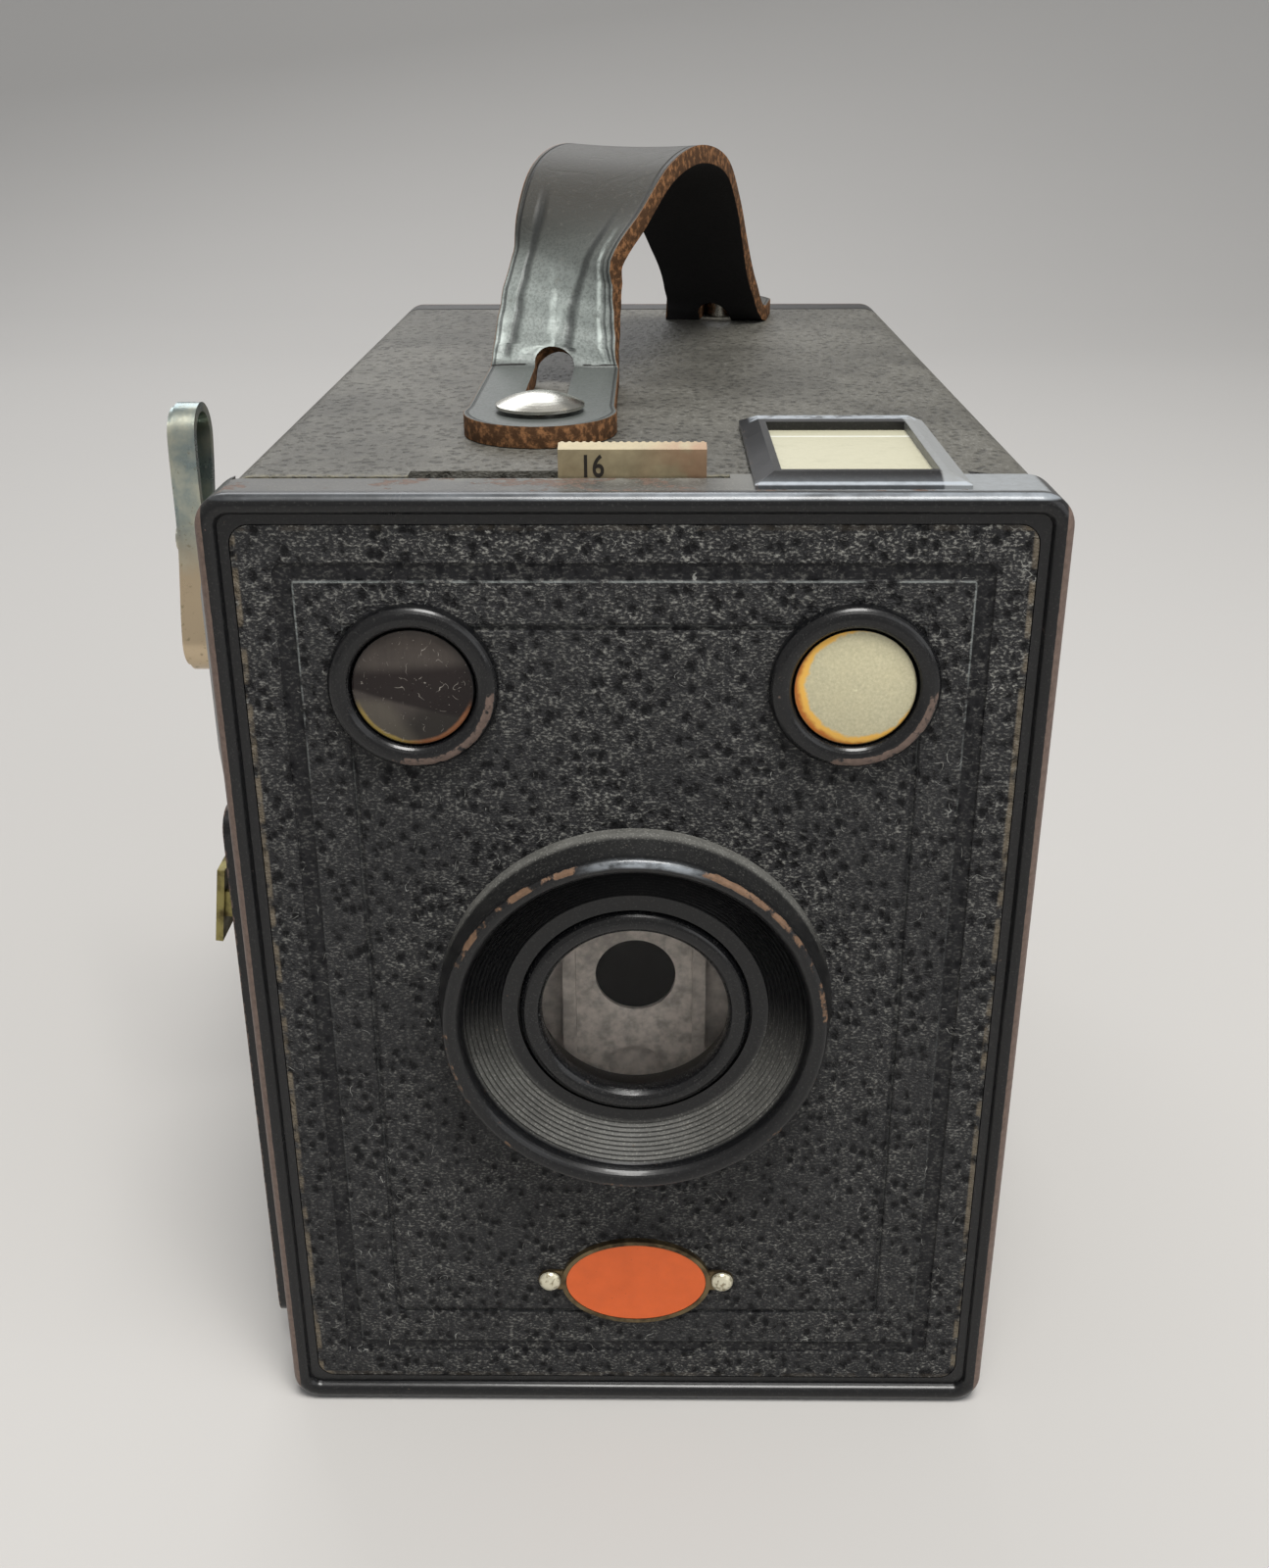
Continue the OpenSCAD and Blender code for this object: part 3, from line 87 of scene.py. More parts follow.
# The top covering's front seam, and how far its tear and the window's pale strip lie behind the plate's face
SEAM = FRONT + 8.6 * MM
TEAR_DEPTH = 8.3 * MM
STRIP_DEPTH = 23.2 * MM


# ------------------------------------------------------------------ properties


def colour_property(name, description, default):
    """A colour that a user may change."""
    return bpy.props.FloatVectorProperty(
        name=name, description=description, subtype="COLOR", size=3, min=0, max=1, default=default
    )


def amount_property(name, description, default, unit="NONE"):
    """A size, a power or a strength that a user may change."""
    return bpy.props.FloatProperty(
        name=name, description=description, default=default, min=0, unit=unit, precision=5
    )


class BoxCameraColours(bpy.types.PropertyGroup):
    """The colours of the camera's finishes."""

    enamel: colour_property("Enamel", "Black stoving enamel of the pressed parts", (0.0026, 0.0028, 0.0036))
    bare: colour_property("Bare metal", "Undercoat and steel where enamel has worn off", (0.15, 0.105, 0.085))
    # The rubbed colour is a painted highlight: a pale bluish gleam laid on the rim's bead, the lens ring's
    # crest and the window frames.
    rubbed: colour_property("Rubbed enamel", "Enamel rubbed pale and bluish on its edges", (0.36, 0.39, 0.42))
    grain: colour_property("Leatherette", "Embossed covering of the front", (0.021, 0.021, 0.022))
    grain_top: colour_property("Faded leatherette", "The body's covering, greyed", (0.092, 0.088, 0.075))
    dust: colour_property("Dust", "Dust that lies in the grain", (0.27, 0.265, 0.24))
    strap: colour_property("Strap", "Polished upper side of the strap", (0.06, 0.066, 0.062))
    strap_edge: colour_property("Strap edge", "Raw cut edge of the strap", (0.2, 0.095, 0.04))
    nickel: colour_property("Nickel", "Plated parts", (0.66, 0.65, 0.59))
    brass: colour_property("Brass", "Slides and posts", (0.5, 0.38, 0.2))
    badge: colour_property("Badge", "Enamelled field of the badge", (0.72, 0.125, 0.025))
    ground_glass: colour_property("Ground glass", "Finder windows", (0.6, 0.575, 0.42))


class BoxCameraSizes(bpy.types.PropertyGroup):
    """Sizes of the pieces that are added to the camera."""

    strap_thickness: amount_property("Strap thickness", "Thickness of the leather", 2.2 * MM, "LENGTH")
    slot_width: amount_property("Slot width", "Width of the strap's two slots", 4.8 * MM, "LENGTH")
    grain_size: amount_property("Grain size", "Distance between the leatherette's pits", 1.2 * MM, "LENGTH")
    number_height: amount_property("Number height", "Height of the tab's number", 2.1 * MM, "LENGTH")


class BoxCameraStage(bpy.types.PropertyGroup):
    """Floor, lamps and view."""

    floor: colour_property("Floor", "Colour of the floor and the backdrop", (0.5, 0.485, 0.465))
    key_power: amount_property("Key lamp", "Power of the main lamp", 10.0, "POWER")
    fill_power: amount_property("Fill lamp", "Power of the side lamp", 1.6, "POWER")
    world: amount_property("World", "Strength of the light from all round", 0.42)


# ------------------------------------------------------------------ shader helpers


def feed(tree, slot, item):
    """Puts a number, a colour, a socket or a Value on an input."""
    if isinstance(item, Value):
        tree.links.new(item.socket, slot)
    elif isinstance(item, bpy.types.NodeSocket):
        tree.links.new(item, slot)
    elif slot.type == "RGBA":
        slot.default_value = (*item, 1)
    else:
        slot.default_value = item


def calculate(tree, operation, *terms):
    """Adds one Math node and returns its result."""
    node = tree.nodes.new("ShaderNodeMath")
    node.operation = operation
    for slot, term in zip(node.inputs, terms):
        feed(tree, slot, term)
    return Value(tree, node.outputs[0])


class Value:
    """A shader value: the usual signs between values add Math nodes."""

    def __init__(self, tree, socket):
        self.tree = tree
        self.socket = socket

    def __add__(self, other):
        return calculate(self.tree, "ADD", self, other)

    __radd__ = __add__

    def __sub__(self, other):
        return calculate(self.tree, "SUBTRACT", self, other)

    def __rsub__(self, other):
        return calculate(self.tree, "SUBTRACT", other, self)

    def __mul__(self, other):
        return calculate(self.tree, "MULTIPLY", self, other)

    __rmul__ = __mul__

    def __abs__(self):
        return calculate(self.tree, "ABSOLUTE", self)

    def least(self, other):
        """The smaller of two values."""
        return calculate(self.tree, "MINIMUM", self, other)

    def most(self, other):
        """The larger of two values."""
        return calculate(self.tree, "MAXIMUM", self, other)

    def root(self):
        """The square root."""
        return calculate(self.tree, "SQRT", self)


def distance(dx, dz):
    """The length of a step of dx and dz."""
    return (dx * dx + dz * dz).root()


def shade(tone, share):
    """A colour made darker or lighter, white at the most."""
    return tuple(min(1.0, v * share) for v in tone)


SOCKETS = {
    "colour": "Base Color",
    "roughness": "Roughness",
    "metallic": "Metallic",
    "normal": "Normal",
    "coat": "Coat Weight",
    "coat_roughness": "Coat Roughness",
    "specular": "Specular IOR Level",
    "transmission": "Transmission Weight",
    "ior": "IOR",
}


class Finish:
    """One procedural material around a Principled shader, laid out in the object's own metres."""

    def __init__(self, name, **constants):
        self.material = bpy.data.materials.new(name)
        self.material.use_nodes = True
        self.tree = self.material.node_tree
        self.shader = self.tree.nodes["Principled BSDF"]
        self.coordinates = self.node("ShaderNodeTexCoord")
        self.place = self.coordinates.outputs["Object"]
        self.paint(**constants)

    def node(self, kind, settings=None, inputs=None):
        """Adds a node with its settings first and then its inputs."""
        node = self.tree.nodes.new(kind)
        for key, value in (settings or {}).items():
            setattr(node, key, value)
        for key, value in (inputs or {}).items():
            feed(self.tree, node.inputs[key], value)
        return node

    def paint(self, **sockets):
        """Sets or links the shader's own sockets."""
        for key, item in sockets.items():
            feed(self.tree, self.shader.inputs[SOCKETS[key]], item)

    def axes(self, at=None):
        """The three coordinates of a vector, the object's own place by default."""
        split = self.node("ShaderNodeSeparateXYZ", inputs={0: at or self.place})
        return [Value(self.tree, output) for output in split.outputs]

    def stretched(self, scale, centre=(0, 0, 0)):
        """The place with each axis scaled about a centre."""
        shift = tuple(-c * s for c, s in zip(centre, scale))
        return self.node(
            "ShaderNodeMapping", inputs={"Vector": self.place, "Location": shift, "Scale": scale}
        ).outputs[0]

    def noise(self, size, detail=2.0, roughness=0.5, at=None, distortion=0.0):
        """Soft noise whose blotches are about size metres across."""
        inputs = {"Vector": at or self.place, "Scale": 1 / size, "Detail": detail}
        inputs |= {"Roughness": roughness, "Distortion": distortion}
        return Value(self.tree, self.node("ShaderNodeTexNoise", inputs=inputs).outputs[0])

    def cells(self, size, at=None):
        """Distance to the nearest of points that lie about size metres apart."""
        node = self.node("ShaderNodeTexVoronoi", inputs={"Vector": at or self.place, "Scale": 1 / size})
        return Value(self.tree, node.outputs["Distance"])

    def ease(self, value, low, high):
        """0 below low, 1 above high and smooth between; low above high turns it round."""
        node = self.node(
            "ShaderNodeMapRange",
            {"interpolation_type": "SMOOTHSTEP", "clamp": True},
            {"Value": value, "From Min": low, "From Max": high, "To Min": 0.0, "To Max": 1.0},
        )
        return Value(self.tree, node.outputs[0])

    def band(self, value, wide, narrow):
        """1 where a value is within narrow of 0, and 0 where it is further than wide."""
        return self.ease(abs(value), wide, narrow)

    def patches(self, size, low, high, detail=2.0, roughness=0.5, at=None):
        """Patches about size metres across: noise that is eased between low and high."""
        return self.ease(self.noise(size, detail, roughness, at), low, high)

    def lint(self, size, wide, narrow, spread, low, high):
        """Curled fibres, in some places only."""
        return self.band(self.noise(size, 1) - 0.5, wide, narrow) * self.patches(spread, low, high)

    def scaled(self, value, low, high):
        """A 0 to 1 value brought to the range low to high."""
        return value * (high - low) + low

    def tint(self, mask, under, over):
        """The colour under where the mask is 0 and over where it is 1."""
        node = self.node("ShaderNodeMix", {"data_type": "RGBA"})
        feed(self.tree, node.inputs["Factor"], mask)
        feed(self.tree, node.inputs[6], under)
        feed(self.tree, node.inputs[7], over)
        return node.outputs[2]

    def bump(self, height, depth, strength=1.0):
        """A normal from a height of 0 to 1, depth metres deep."""
        return self.node(
            "ShaderNodeBump", inputs={"Height": height, "Distance": depth, "Strength": strength}
        ).outputs[0]

    def ring_distance(self, x, z):
        """Distance from an axis along Y at x, z, as a value in metres."""
        px, _, pz = self.axes()
        return distance(px - x, pz - z)

    def edge_distance(self):
        """How far a point lies inside the front plate's outline."""
        x, _, z = self.axes()
        return (CAP_HALF - abs(x)).least(z.least(CAP_TOP - z))


def colours():
    """The colours that the panel shows."""
    return bpy.context.scene.box_camera_colours


def sizes():
    """The sizes that the panel shows."""
    return bpy.context.scene.box_camera_sizes


# ------------------------------------------------------------------ finishes


def enamel_finish(name, wear_zone=None, gloss=0.16, dust_zone=None, highlight_zone=None, metal=None):
    """Glossy black enamel, with a function of the look for each zone that is bare, dusty or given a pale
    painted highlight.
    """
    look = Finish(name, specular=0.36, coat=0.18, coat_roughness=0.07)
    c = colours()
    cloud = look.noise(5 * MM, 3)
    scratch = look.noise(0.5 * MM, 4, 0.7, look.stretched((1, 1, 0.25)))
    chips = look.noise(0.9 * MM, 5, 0.68)
    spots = look.ease(chips, 0.69, 0.73)
    zone = wear_zone(look) if wear_zone else 0.0
    worn = look.ease(chips * 0.55 + zone, 0.66, 0.74).most(spots * 0.8)
    film = dust_zone(look) if dust_zone else 0.0
    specks = look.patches(0.22 * MM, 0.56, 0.72, 2, 0.6)
    dust = (specks * (film * 1.3 + 0.12) + film * 0.42).least(1.0)
    base = look.tint(dust * 0.62, c.enamel, c.dust)
    if highlight_zone:
        # Painted highlight: the rubbed colour is laid where the highlight zone's function asks for it.
        rubbed = (highlight_zone(look) * look.scaled(chips, 0.5, 1.5)).least(1.0)
        base = look.tint(rubbed, base, c.rubbed)
    metal = metal or c.bare
    bare = look.tint(look.noise(0.6 * MM, 4, 0.65), shade(metal, 0.4), shade(metal, 1.6))
    dents = look.noise(2.5 * MM, 3) * 0.5 - worn * 0.6 + scratch * 0.06 + dust * 0.1
    look.paint(
        colour=look.tint(worn, base, bare),
        roughness=look.scaled(cloud, gloss + 0.03, gloss + 0.2) + scratch * 0.05 + worn * 0.3 + dust * 0.4,
        metallic=worn * 0.25,
        normal=look.bump(dents, 0.07 * MM, 0.7),
    )
    return look.material


def rim_wear(look):
    """The outer half of the rolled rim is bare at both sides, and the flange's top has bare patches."""
    x, y, z = look.axes()
    depth = y - FRONT
    side = look.ease(CAP_HALF - abs(x), 1.0 * MM, 0.75 * MM) * look.ease(depth, 5 * MM, 1 * MM)
    corner = look.ease(look.edge_distance(), 0.7 * MM, 0.25 * MM) * look.ease(depth, 1.5 * MM, 0.5 * MM)
    top = look.ease(z, CAP_TOP - 0.6 * MM, CAP_TOP - 0.1 * MM) * look.ease(depth, 0.8 * MM, 1.6 * MM)
    patch = look.patches(7 * MM, 0.38, 0.62, 3, 0.6)
    return side * 0.62 + top * (patch * 0.3 + 0.14) + corner * 0.22


def rim_highlight(look):
    """The bead along the top carries a painted highlight, most towards the right, and the flange's top a
    painted reflection towards the right.
    """
    x, y, z = look.axes()
    bead = look.ease(z, CAP_TOP - 0.62 * MM, CAP_TOP - 0.4 * MM)
    bead = bead * look.ease(y, FRONT + 1.1 * MM, FRONT + 0.8 * MM)
    right = look.ease(x, -36 * MM, 34 * MM)
    streak = look.patches(3 * MM, 0.3, 0.62, 3, 0.6, look.stretched((0.3, 1, 1)))
    flange = look.ease(z, CAP_TOP - 0.25 * MM, CAP_TOP - 0.05 * MM)
    flange = flange * look.ease(y, FRONT + 1 * MM, FRONT + 2 * MM) * look.ease(x, 6 * MM, 30 * MM)
    return bead * (right * 0.6 + 0.12) * (streak * 0.7 + 0.3) + flange * 0.45


def rim_dust(look):
    """A grey film lies on the flange's top, thickest beside the slit of the slides."""
    x, y, z = look.axes()
    depth = y - FRONT
    top = look.ease(z, CAP_TOP - 0.25 * MM, CAP_TOP - 0.05 * MM) * look.ease(depth, 1 * MM, 2.2 * MM)
    slit = look.ease(depth, 3 * MM, 6.5 * MM) * look.band(x + 5 * MM, 17 * MM, 9 * MM)
    cloud = look.noise(4 * MM, 4, 0.65)
    right = look.ease(x, 2 * MM, 14 * MM)
    return top * (slit * look.ease(cloud, 0.4, 0.6) * 1.2 + cloud * 0.6 + right * 1.1 + 0.6)


def ring_wear(look):
    """The lens ring is worn along its rolled crest, most at its upper left and right."""
    x, y, z = look.axes()
    radius = look.ring_distance(0, LENS_Z)
    crest = look.band(radius - CREST_RADIUS, 0.5 * MM, 0.2 * MM)
    crest = crest * look.ease(y, FRONT - 3.6 * MM, FRONT - 4.1 * MM)
    high = look.ease(z, LENS_Z, LENS_Z + 10 * MM)
    flank = look.ease(abs(x), 4 * MM, 8 * MM)
    patch = look.patches(5 * MM, 0.4, 0.6, 3)
    return crest * (high * (flank * 0.12 + 0.02) + patch * 0.17 + 0.23)


def ring_highlight(look):
    """A painted highlight in the middle of the ring's upper crest."""
    x, y, z = look.axes()
    radius = look.ring_distance(0, LENS_Z)
    crest = look.band(radius - (CREST_RADIUS - 0.15 * MM), 0.5 * MM, 0.15 * MM)
    crest = crest * look.ease(y, FRONT - 3.5 * MM, FRONT - 4 * MM)
    top = look.band(x - 1 * MM, 7.5 * MM, 2 * MM) * look.ease(z, LENS_Z, LENS_Z + 10 * MM)
    return crest * top * look.patches(1.5 * MM, 0.3, 0.6, 4, 0.65, look.stretched((0.5, 1, 1))) * 0.8


def ring_dust(look):
    """Dust lies on the top of the ring and in the lower grooves of its cone."""
    _, y, z = look.axes()
    radius = look.ring_distance(0, LENS_Z)
    outside = look.ease(radius, WALL_RADIUS - 0.2 * MM, WALL_RADIUS)
    top = look.ease(z, LENS_Z + 3 * MM, LENS_Z + 15 * MM) * outside
    foot = look.ease(y, FRONT - 1.2 * MM, FRONT - 0.3 * MM) * outside
    low = look.ease(z, LENS_Z + 3 * MM, LENS_Z - 9 * MM)
    low = low * look.ease(radius, CONE_RIM, CONE_RIM - 0.3 * MM)
    low = low * look.ease(radius, CONE_FOOT, CONE_FOOT + 0.8 * MM)
    cloud = look.noise(3 * MM, 3, 0.6) + 0.5
    return (top * (foot * 1.3 + 0.12) + low * 1.15) * cloud


def finder_ring_wear(look):
    """The finder rings are chipped on their outer slope at the lower right."""
    x, _, z = look.axes()
    left = look.ease(x, 1 * MM, -1 * MM)
    dx, dz = x - FINDER_X + left * (2 * FINDER_X), z - FINDER_Z
    low = look.ease(dx * 0.75 - dz, 2.5 * MM, 7 * MM)
    slope = look.band(distance(dx, dz) - FINDER_SLOPE, 0.75 * MM, 0.3 * MM)
    side = look.ease(-1 * dx, 5.5 * MM, 7 * MM) * look.band(dz, 4 * MM, 1 * MM) * (1 - left)
    return slope * (low + side * 0.7) * 0.47


def guard_wear(look):
    """The side guard is rubbed along its outer edge."""
    x, _, _ = look.axes()
    return look.ease(x, GUARD_EDGE + 0.7 * MM, GUARD_EDGE) * 0.45


def door_wear(look):
    """The door's rim is rubbed along its corners."""
    _, y, _ = look.axes()
    corner = look.ease(look.edge_distance(), 1.5 * MM, 0.6 * MM)
    return corner * look.ease(y, DOOR_FACE - 1.2 * MM, DOOR_FACE) * 0.6


def frame_wear(look):
    """The window frames are rubbed along their outer left edge."""
    x, _, _ = look.axes()
    return look.band(x - FRAME_LEFT, 0.5 * MM, 0.1 * MM) * 0.35


def frame_dust(look):
    """The right bevel of the top window's frame is dull and pale."""
    _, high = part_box("finder_frame_top")
    x, _, _ = look.axes()
    return look.ease(x, high[0] - 2.7 * MM, high[0] - 2.4 * MM) * 2.4


def frame_highlights(look):
    """Painted highlights: a bright line at the foot of the front bevel that fades up it, a bright rear bevel
    and a dull pale right one.
    """
    low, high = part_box("finder_frame_top")
    x, y, z = look.axes()
    front = look.band(y - low[1] - 0.35 * MM, 0.35 * MM, 0.1 * MM)
    slope = look.ease(y, low[1] + 1.9 * MM, low[1] + 0.2 * MM) * 0.18
    ridge = look.ease(y, high[1] - 3.5 * MM, high[1] - 3.1 * MM)
    ridge = ridge * look.ease(z, high[2] - 0.5 * MM, high[2] - 0.2 * MM)
    rear = ridge * look.patches(1.5 * MM, 0.3, 0.5, 3)
    right = look.ease(x, high[0] - 2.7 * MM, high[0] - 2.4 * MM) * 0.3
    return (front * 0.75 + slope + rear * 0.9 + right) * look.ease(z, TOP - 1 * MM, TOP)


def grain(look, size):
    """The leatherette's pits, the pale flecks between them with painted glints on one lip of each pit, its
    fine noise and the height of it all.
    """
    tall = (1, 0.85, 0.7)
    shift = (look.noise(size * 0.4, 2) - 0.5) * 0.7
    cell = look.cells(size, at=look.stretched(tall)) + shift
    above = look.cells(size, at=look.stretched(tall, (0, 0, -0.42 * size))) + shift
    present = look.patches(size * 1.3, 0.32, 0.44, 2)
    pits = look.ease(cell, 0.48, 0.08) * present
    # Painted glint: a crescent on one side of each pit, as if lit, that brightens the flecks.
    lit_lips = look.ease(above, 0.44, 0.2) * present * (1 - pits)
    fine = look.noise(size * 0.25, 3, 0.6, look.stretched((0.7, 0.8, 1.2)))
    flecks = look.ease(fine + (cell - 0.5) * 0.16 + lit_lips * 0.12, 0.5, 0.76) * (1 - pits)
    return pits, flecks, fine, fine * 0.75 + cell * 0.5 - pits * 0.6


def front_leatherette():
    """Pitted black leatherette with smooth pressed border lines and grey dust in its grain; painted shade
    darkens its pits, and its dust flecks carry painted glints.
    """
    look = Finish("front_leatherette", specular=0.16)
    c = colours()
    pits, flecks, fine, height = grain(look, sizes().grain_size)
    edge = look.edge_distance()
    x, _, z = look.axes()
    band = look.band(edge - BORDER_BAND, 1.0 * MM, 0.7 * MM)
    thin = look.band(edge - BORDER_GROOVE, 0.45 * MM, 0.25 * MM)
    pressed = band.most(thin * 0.6)
    gaps = look.patches(2.5 * MM, 0.38, 0.55, 3)
    high = look.ease(z, 70 * MM, 98 * MM)
    line = look.band(edge - BAND_EDGE, 0.13 * MM, 0.04 * MM) * (high * 0.75 + 0.1)
    inner = look.band(edge - GROOVE_EDGE, 0.12 * MM, 0.04 * MM) * (high * 0.25 + 0.12)
    patch = look.patches(9 * MM, 0.36, 0.64, 3)
    outer = look.ease(edge, 9 * MM, 4.5 * MM) * look.ease(z, 20 * MM, 70 * MM)
    ring = look.ease(look.ring_distance(0, LENS_Z), 27 * MM, 21 * MM) * look.ease(z, LENS_Z, LENS_Z + 12 * MM)
    near_left = look.ease(x, -22 * MM, -30 * MM)
    amount = (patch * 0.5 + outer * 0.35 + ring * 0.4 + high * 0.3 + 0.2) * (1 - pressed * 0.8)
    amount = amount * (1 - near_left * 0.35)
    specks = look.patches(0.3 * MM, 0.7, 0.76, 2, 0.6)
    grime = look.ease(z, 14 * MM, 4 * MM) * look.patches(1.6 * MM, 0.42, 0.62, 3, 0.6) * 0.35
    # The dust mask is partly real dust and partly painted glints on the grain's ridges.
    dust = (flecks * (amount * 0.75 + 0.16) + specks * 0.3 + grime * flecks).least(1.0)
    brown = look.tint(look.noise(14 * MM, 2), c.grain, shade(c.grain, 1.3))
    # Painted shade: the pits are tinted near black.
    base = look.tint(pits * 0.8, brown, (0.002, 0.002, 0.0025))
    base = look.tint(pressed * 0.6, base, (0.006, 0.006, 0.0075))
    base = look.tint(dust, base, c.dust)
    lint = look.lint(2.6 * MM, 0.005, 0.002, 1.7 * MM, 0.6, 0.64)
    base = look.tint(lint * 0.6, base, (0.4, 0.4, 0.37))
    base = look.tint((line + inner) * gaps * 0.7, base, (0.27, 0.29, 0.28))
    rub = look.band(edge - RUB_LINE, 0.4 * MM, 0.15 * MM) * look.patches(2.2 * MM, 0.4, 0.58, 3)
    sides = look.ease(CAP_HALF - abs(x), 5 * MM, 4 * MM) * 0.6 + 0.15
    base = look.tint(rub * sides, base, (0.17, 0.14, 0.1))
    look.paint(
        colour=base,
        roughness=look.scaled(fine, 0.36, 0.56) + dust * 0.25 + pits * 0.25,
        normal=look.bump(height * (1 - pressed * 0.75), 0.3 * MM, 1.0),
    )
    return look.material


def body_leatherette():
    """The same covering on the body, flatter and greyed, rubbed brown on its long edges; painted shade
    darkens its pits and its tear, and its pale flecks carry painted glints.
    """
    look = Finish("body_leatherette", specular=0.22)
    c = colours()
    pits, flecks, fine, height = grain(look, sizes().grain_size * 0.9)
    x, y, z = look.axes()
    corner = look.ease(CAP_HALF - abs(x), 3.2 * MM, 0.8 * MM)
    corner = corner * look.ease(z.least(CAP_TOP - z), 3 * MM, 0.5 * MM)
    cloud = look.patches(16 * MM, 0.35, 0.68, 4, 0.6)
    rubbed = look.ease(look.noise(1.6 * MM, 4, 0.65) + corner * 0.3, 0.66, 0.78)
    base = look.tint(cloud * 0.7, shade(c.grain_top, 0.75), shade(c.grain_top, 1.35))
    # Painted shade: the pits are tinted dark.
    base = look.tint(pits * 0.62, base, (0.02, 0.02, 0.018))
    # The pale flecks are dust and painted glints.
    base = look.tint(flecks * (cloud * 0.3 + 0.2), base, c.dust)
    seam = look.ease(y, SEAM + 1 * MM, SEAM) * look.patches(0.7 * MM, 0.42, 0.56, 4, 0.7)
    base = look.tint(seam * 0.6, base, (0.2, 0.18, 0.11))
    # Painted shade: the tear is real, and its near-black stands in for the shade inside it.
    tear_shade = look.ease(y, FRONT + TEAR_DEPTH - 0.3 * MM, FRONT + TEAR_DEPTH) * look.ease(x, 31.7 * MM, 32 * MM)
    slant = (y - FRONT - TEAR_DEPTH) - (36 * MM - x) * 0.5
    tear_shade = tear_shade * look.ease(slant, 0.15 * MM, -0.15 * MM)
    tear_shade = tear_shade * look.ease(z, TOP - 0.7 * MM, TOP - 0.4 * MM)
    base = look.tint(tear_shade, base, (0.004, 0.003, 0.003))
    base = look.tint(rubbed * corner * 0.6, base, (0.11, 0.085, 0.065))
    look.paint(
        colour=base,
        roughness=look.scaled(fine, 0.36, 0.56) + flecks * 0.1,
        normal=look.bump(height, 0.26 * MM, 0.8),
    )
    return look.material


def black_sheet(name="matt_black_sheet", tone=0.02, shine=0.3, rubbed=1.0):
    """Thin matt black paint on rolled steel, rubbed through in spots by the share rubbed."""
    look = Finish(name, specular=shine)
    streak = look.noise(2 * MM, 4, 0.6, look.stretched((1, 0.3, 1)))
    rub = look.patches(1.2 * MM, 0.7, 0.78, 4, 0.7) * rubbed
    base = look.tint(streak, (tone * 0.5, tone * 0.5, tone * 0.5), (tone * 1.2, tone * 1.15, tone * 1.1))
    look.paint(
        colour=look.tint(rub * 0.5, base, (0.13, 0.12, 0.11)),
        roughness=look.scaled(streak, 0.5, 0.75),
        metallic=rub * 0.4,
        normal=look.bump(streak, 0.03 * MM, 0.5),
    )
    return look.material


def plain_steel():
    """Rolled steel with a fine brushed grain and a little tarnish."""
    look = Finish("plain_steel", metallic=0.9)
    grain = look.noise(0.25 * MM, 3, 0.6, look.stretched((0.06, 1, 1)))
    stain = look.patches(3 * MM, 0.5, 0.75, 4, 0.6)
    base = look.tint(grain, (0.3, 0.3, 0.31), (0.48, 0.47, 0.46))
    look.paint(
        colour=look.tint(stain * 0.5, base, (0.2, 0.14, 0.09)),
        roughness=look.scaled(grain, 0.28, 0.48) + stain * 0.2,
        normal=look.bump(grain, 0.01 * MM, 0.4),
    )
    return look.material


def brass_finish(name, tone, tarnish):
    """Brass with darker tarnish in clouds and fine drawing marks."""
    look = Finish(name, metallic=0.85)
    marks = look.noise(0.3 * MM, 3, 0.6, look.stretched((1, 1, 0.08)))
    cloud = look.patches(2.2 * MM, 0.38, 0.7, 4, 0.6)
    base = look.tint(marks, shade(tone, 0.8), tone)
    look.paint(
        colour=look.tint(cloud, base, tarnish),
        roughness=look.scaled(cloud, 0.3, 0.52),
        normal=look.bump(marks, 0.012 * MM, 0.5),
    )
    return look.material


# Painted light: far paler than the plate's own grey-brown paint, this stands in for the light on the parts
# behind the glass and the glass's reflection.
PAINT_AND_GLARE = (0.78, 0.72, 0.66)


def aperture_finish():
    """The aperture slide: brassy on its tab, and dull grey where the lens shows it."""
    look = Finish("aperture_slide_finish")
    x, _, z = look.axes()
    tab = look.ease(z, 104 * MM, 106 * MM)
    cloud = look.noise(1.4 * MM, 4, 0.6)
    marks = look.noise(0.3 * MM, 3, 0.6, look.stretched((1, 1, 0.1)))
    warm = look.tint(cloud, (0.24, 0.2, 0.12), (0.52, 0.44, 0.28))
    # Painted reflection: a reddish patch on the tab's right half.
    red = look.ease(x, -1 * MM, 6 * MM) * look.patches(3 * MM, 0.35, 0.6, 2)
    warm = look.tint(red * 0.45, warm, (0.32, 0.12, 0.07))
    # Painted light: where the lens shows the slide, its grey is painted pale like the plate.
    grey = look.tint(look.ease(cloud, 0.3, 0.7), (0.4, 0.37, 0.335), PAINT_AND_GLARE)
    look.paint(
        colour=look.tint(tab, grey, warm),
        metallic=tab * 0.7,
        roughness=look.scaled(cloud, 0.3, 0.5),
        normal=look.bump(marks * tab, 0.02 * MM, 0.5),
    )
    return look.material


def plate_finish():
    """Dull grey-brown paint of the plate behind the front glass, painted pale as painted light: it stands in
    for the light on the plate and the glass's reflection.
    """
    look = Finish("mechanism_plate_paint_and_glare", specular=0.3)
    cloud = look.noise(2.4 * MM, 4, 0.6)
    base = look.tint(look.ease(cloud, 0.3, 0.7), (0.42, 0.385, 0.35), PAINT_AND_GLARE)
    look.paint(colour=base, roughness=look.scaled(cloud, 0.45, 0.6))
    return look.material


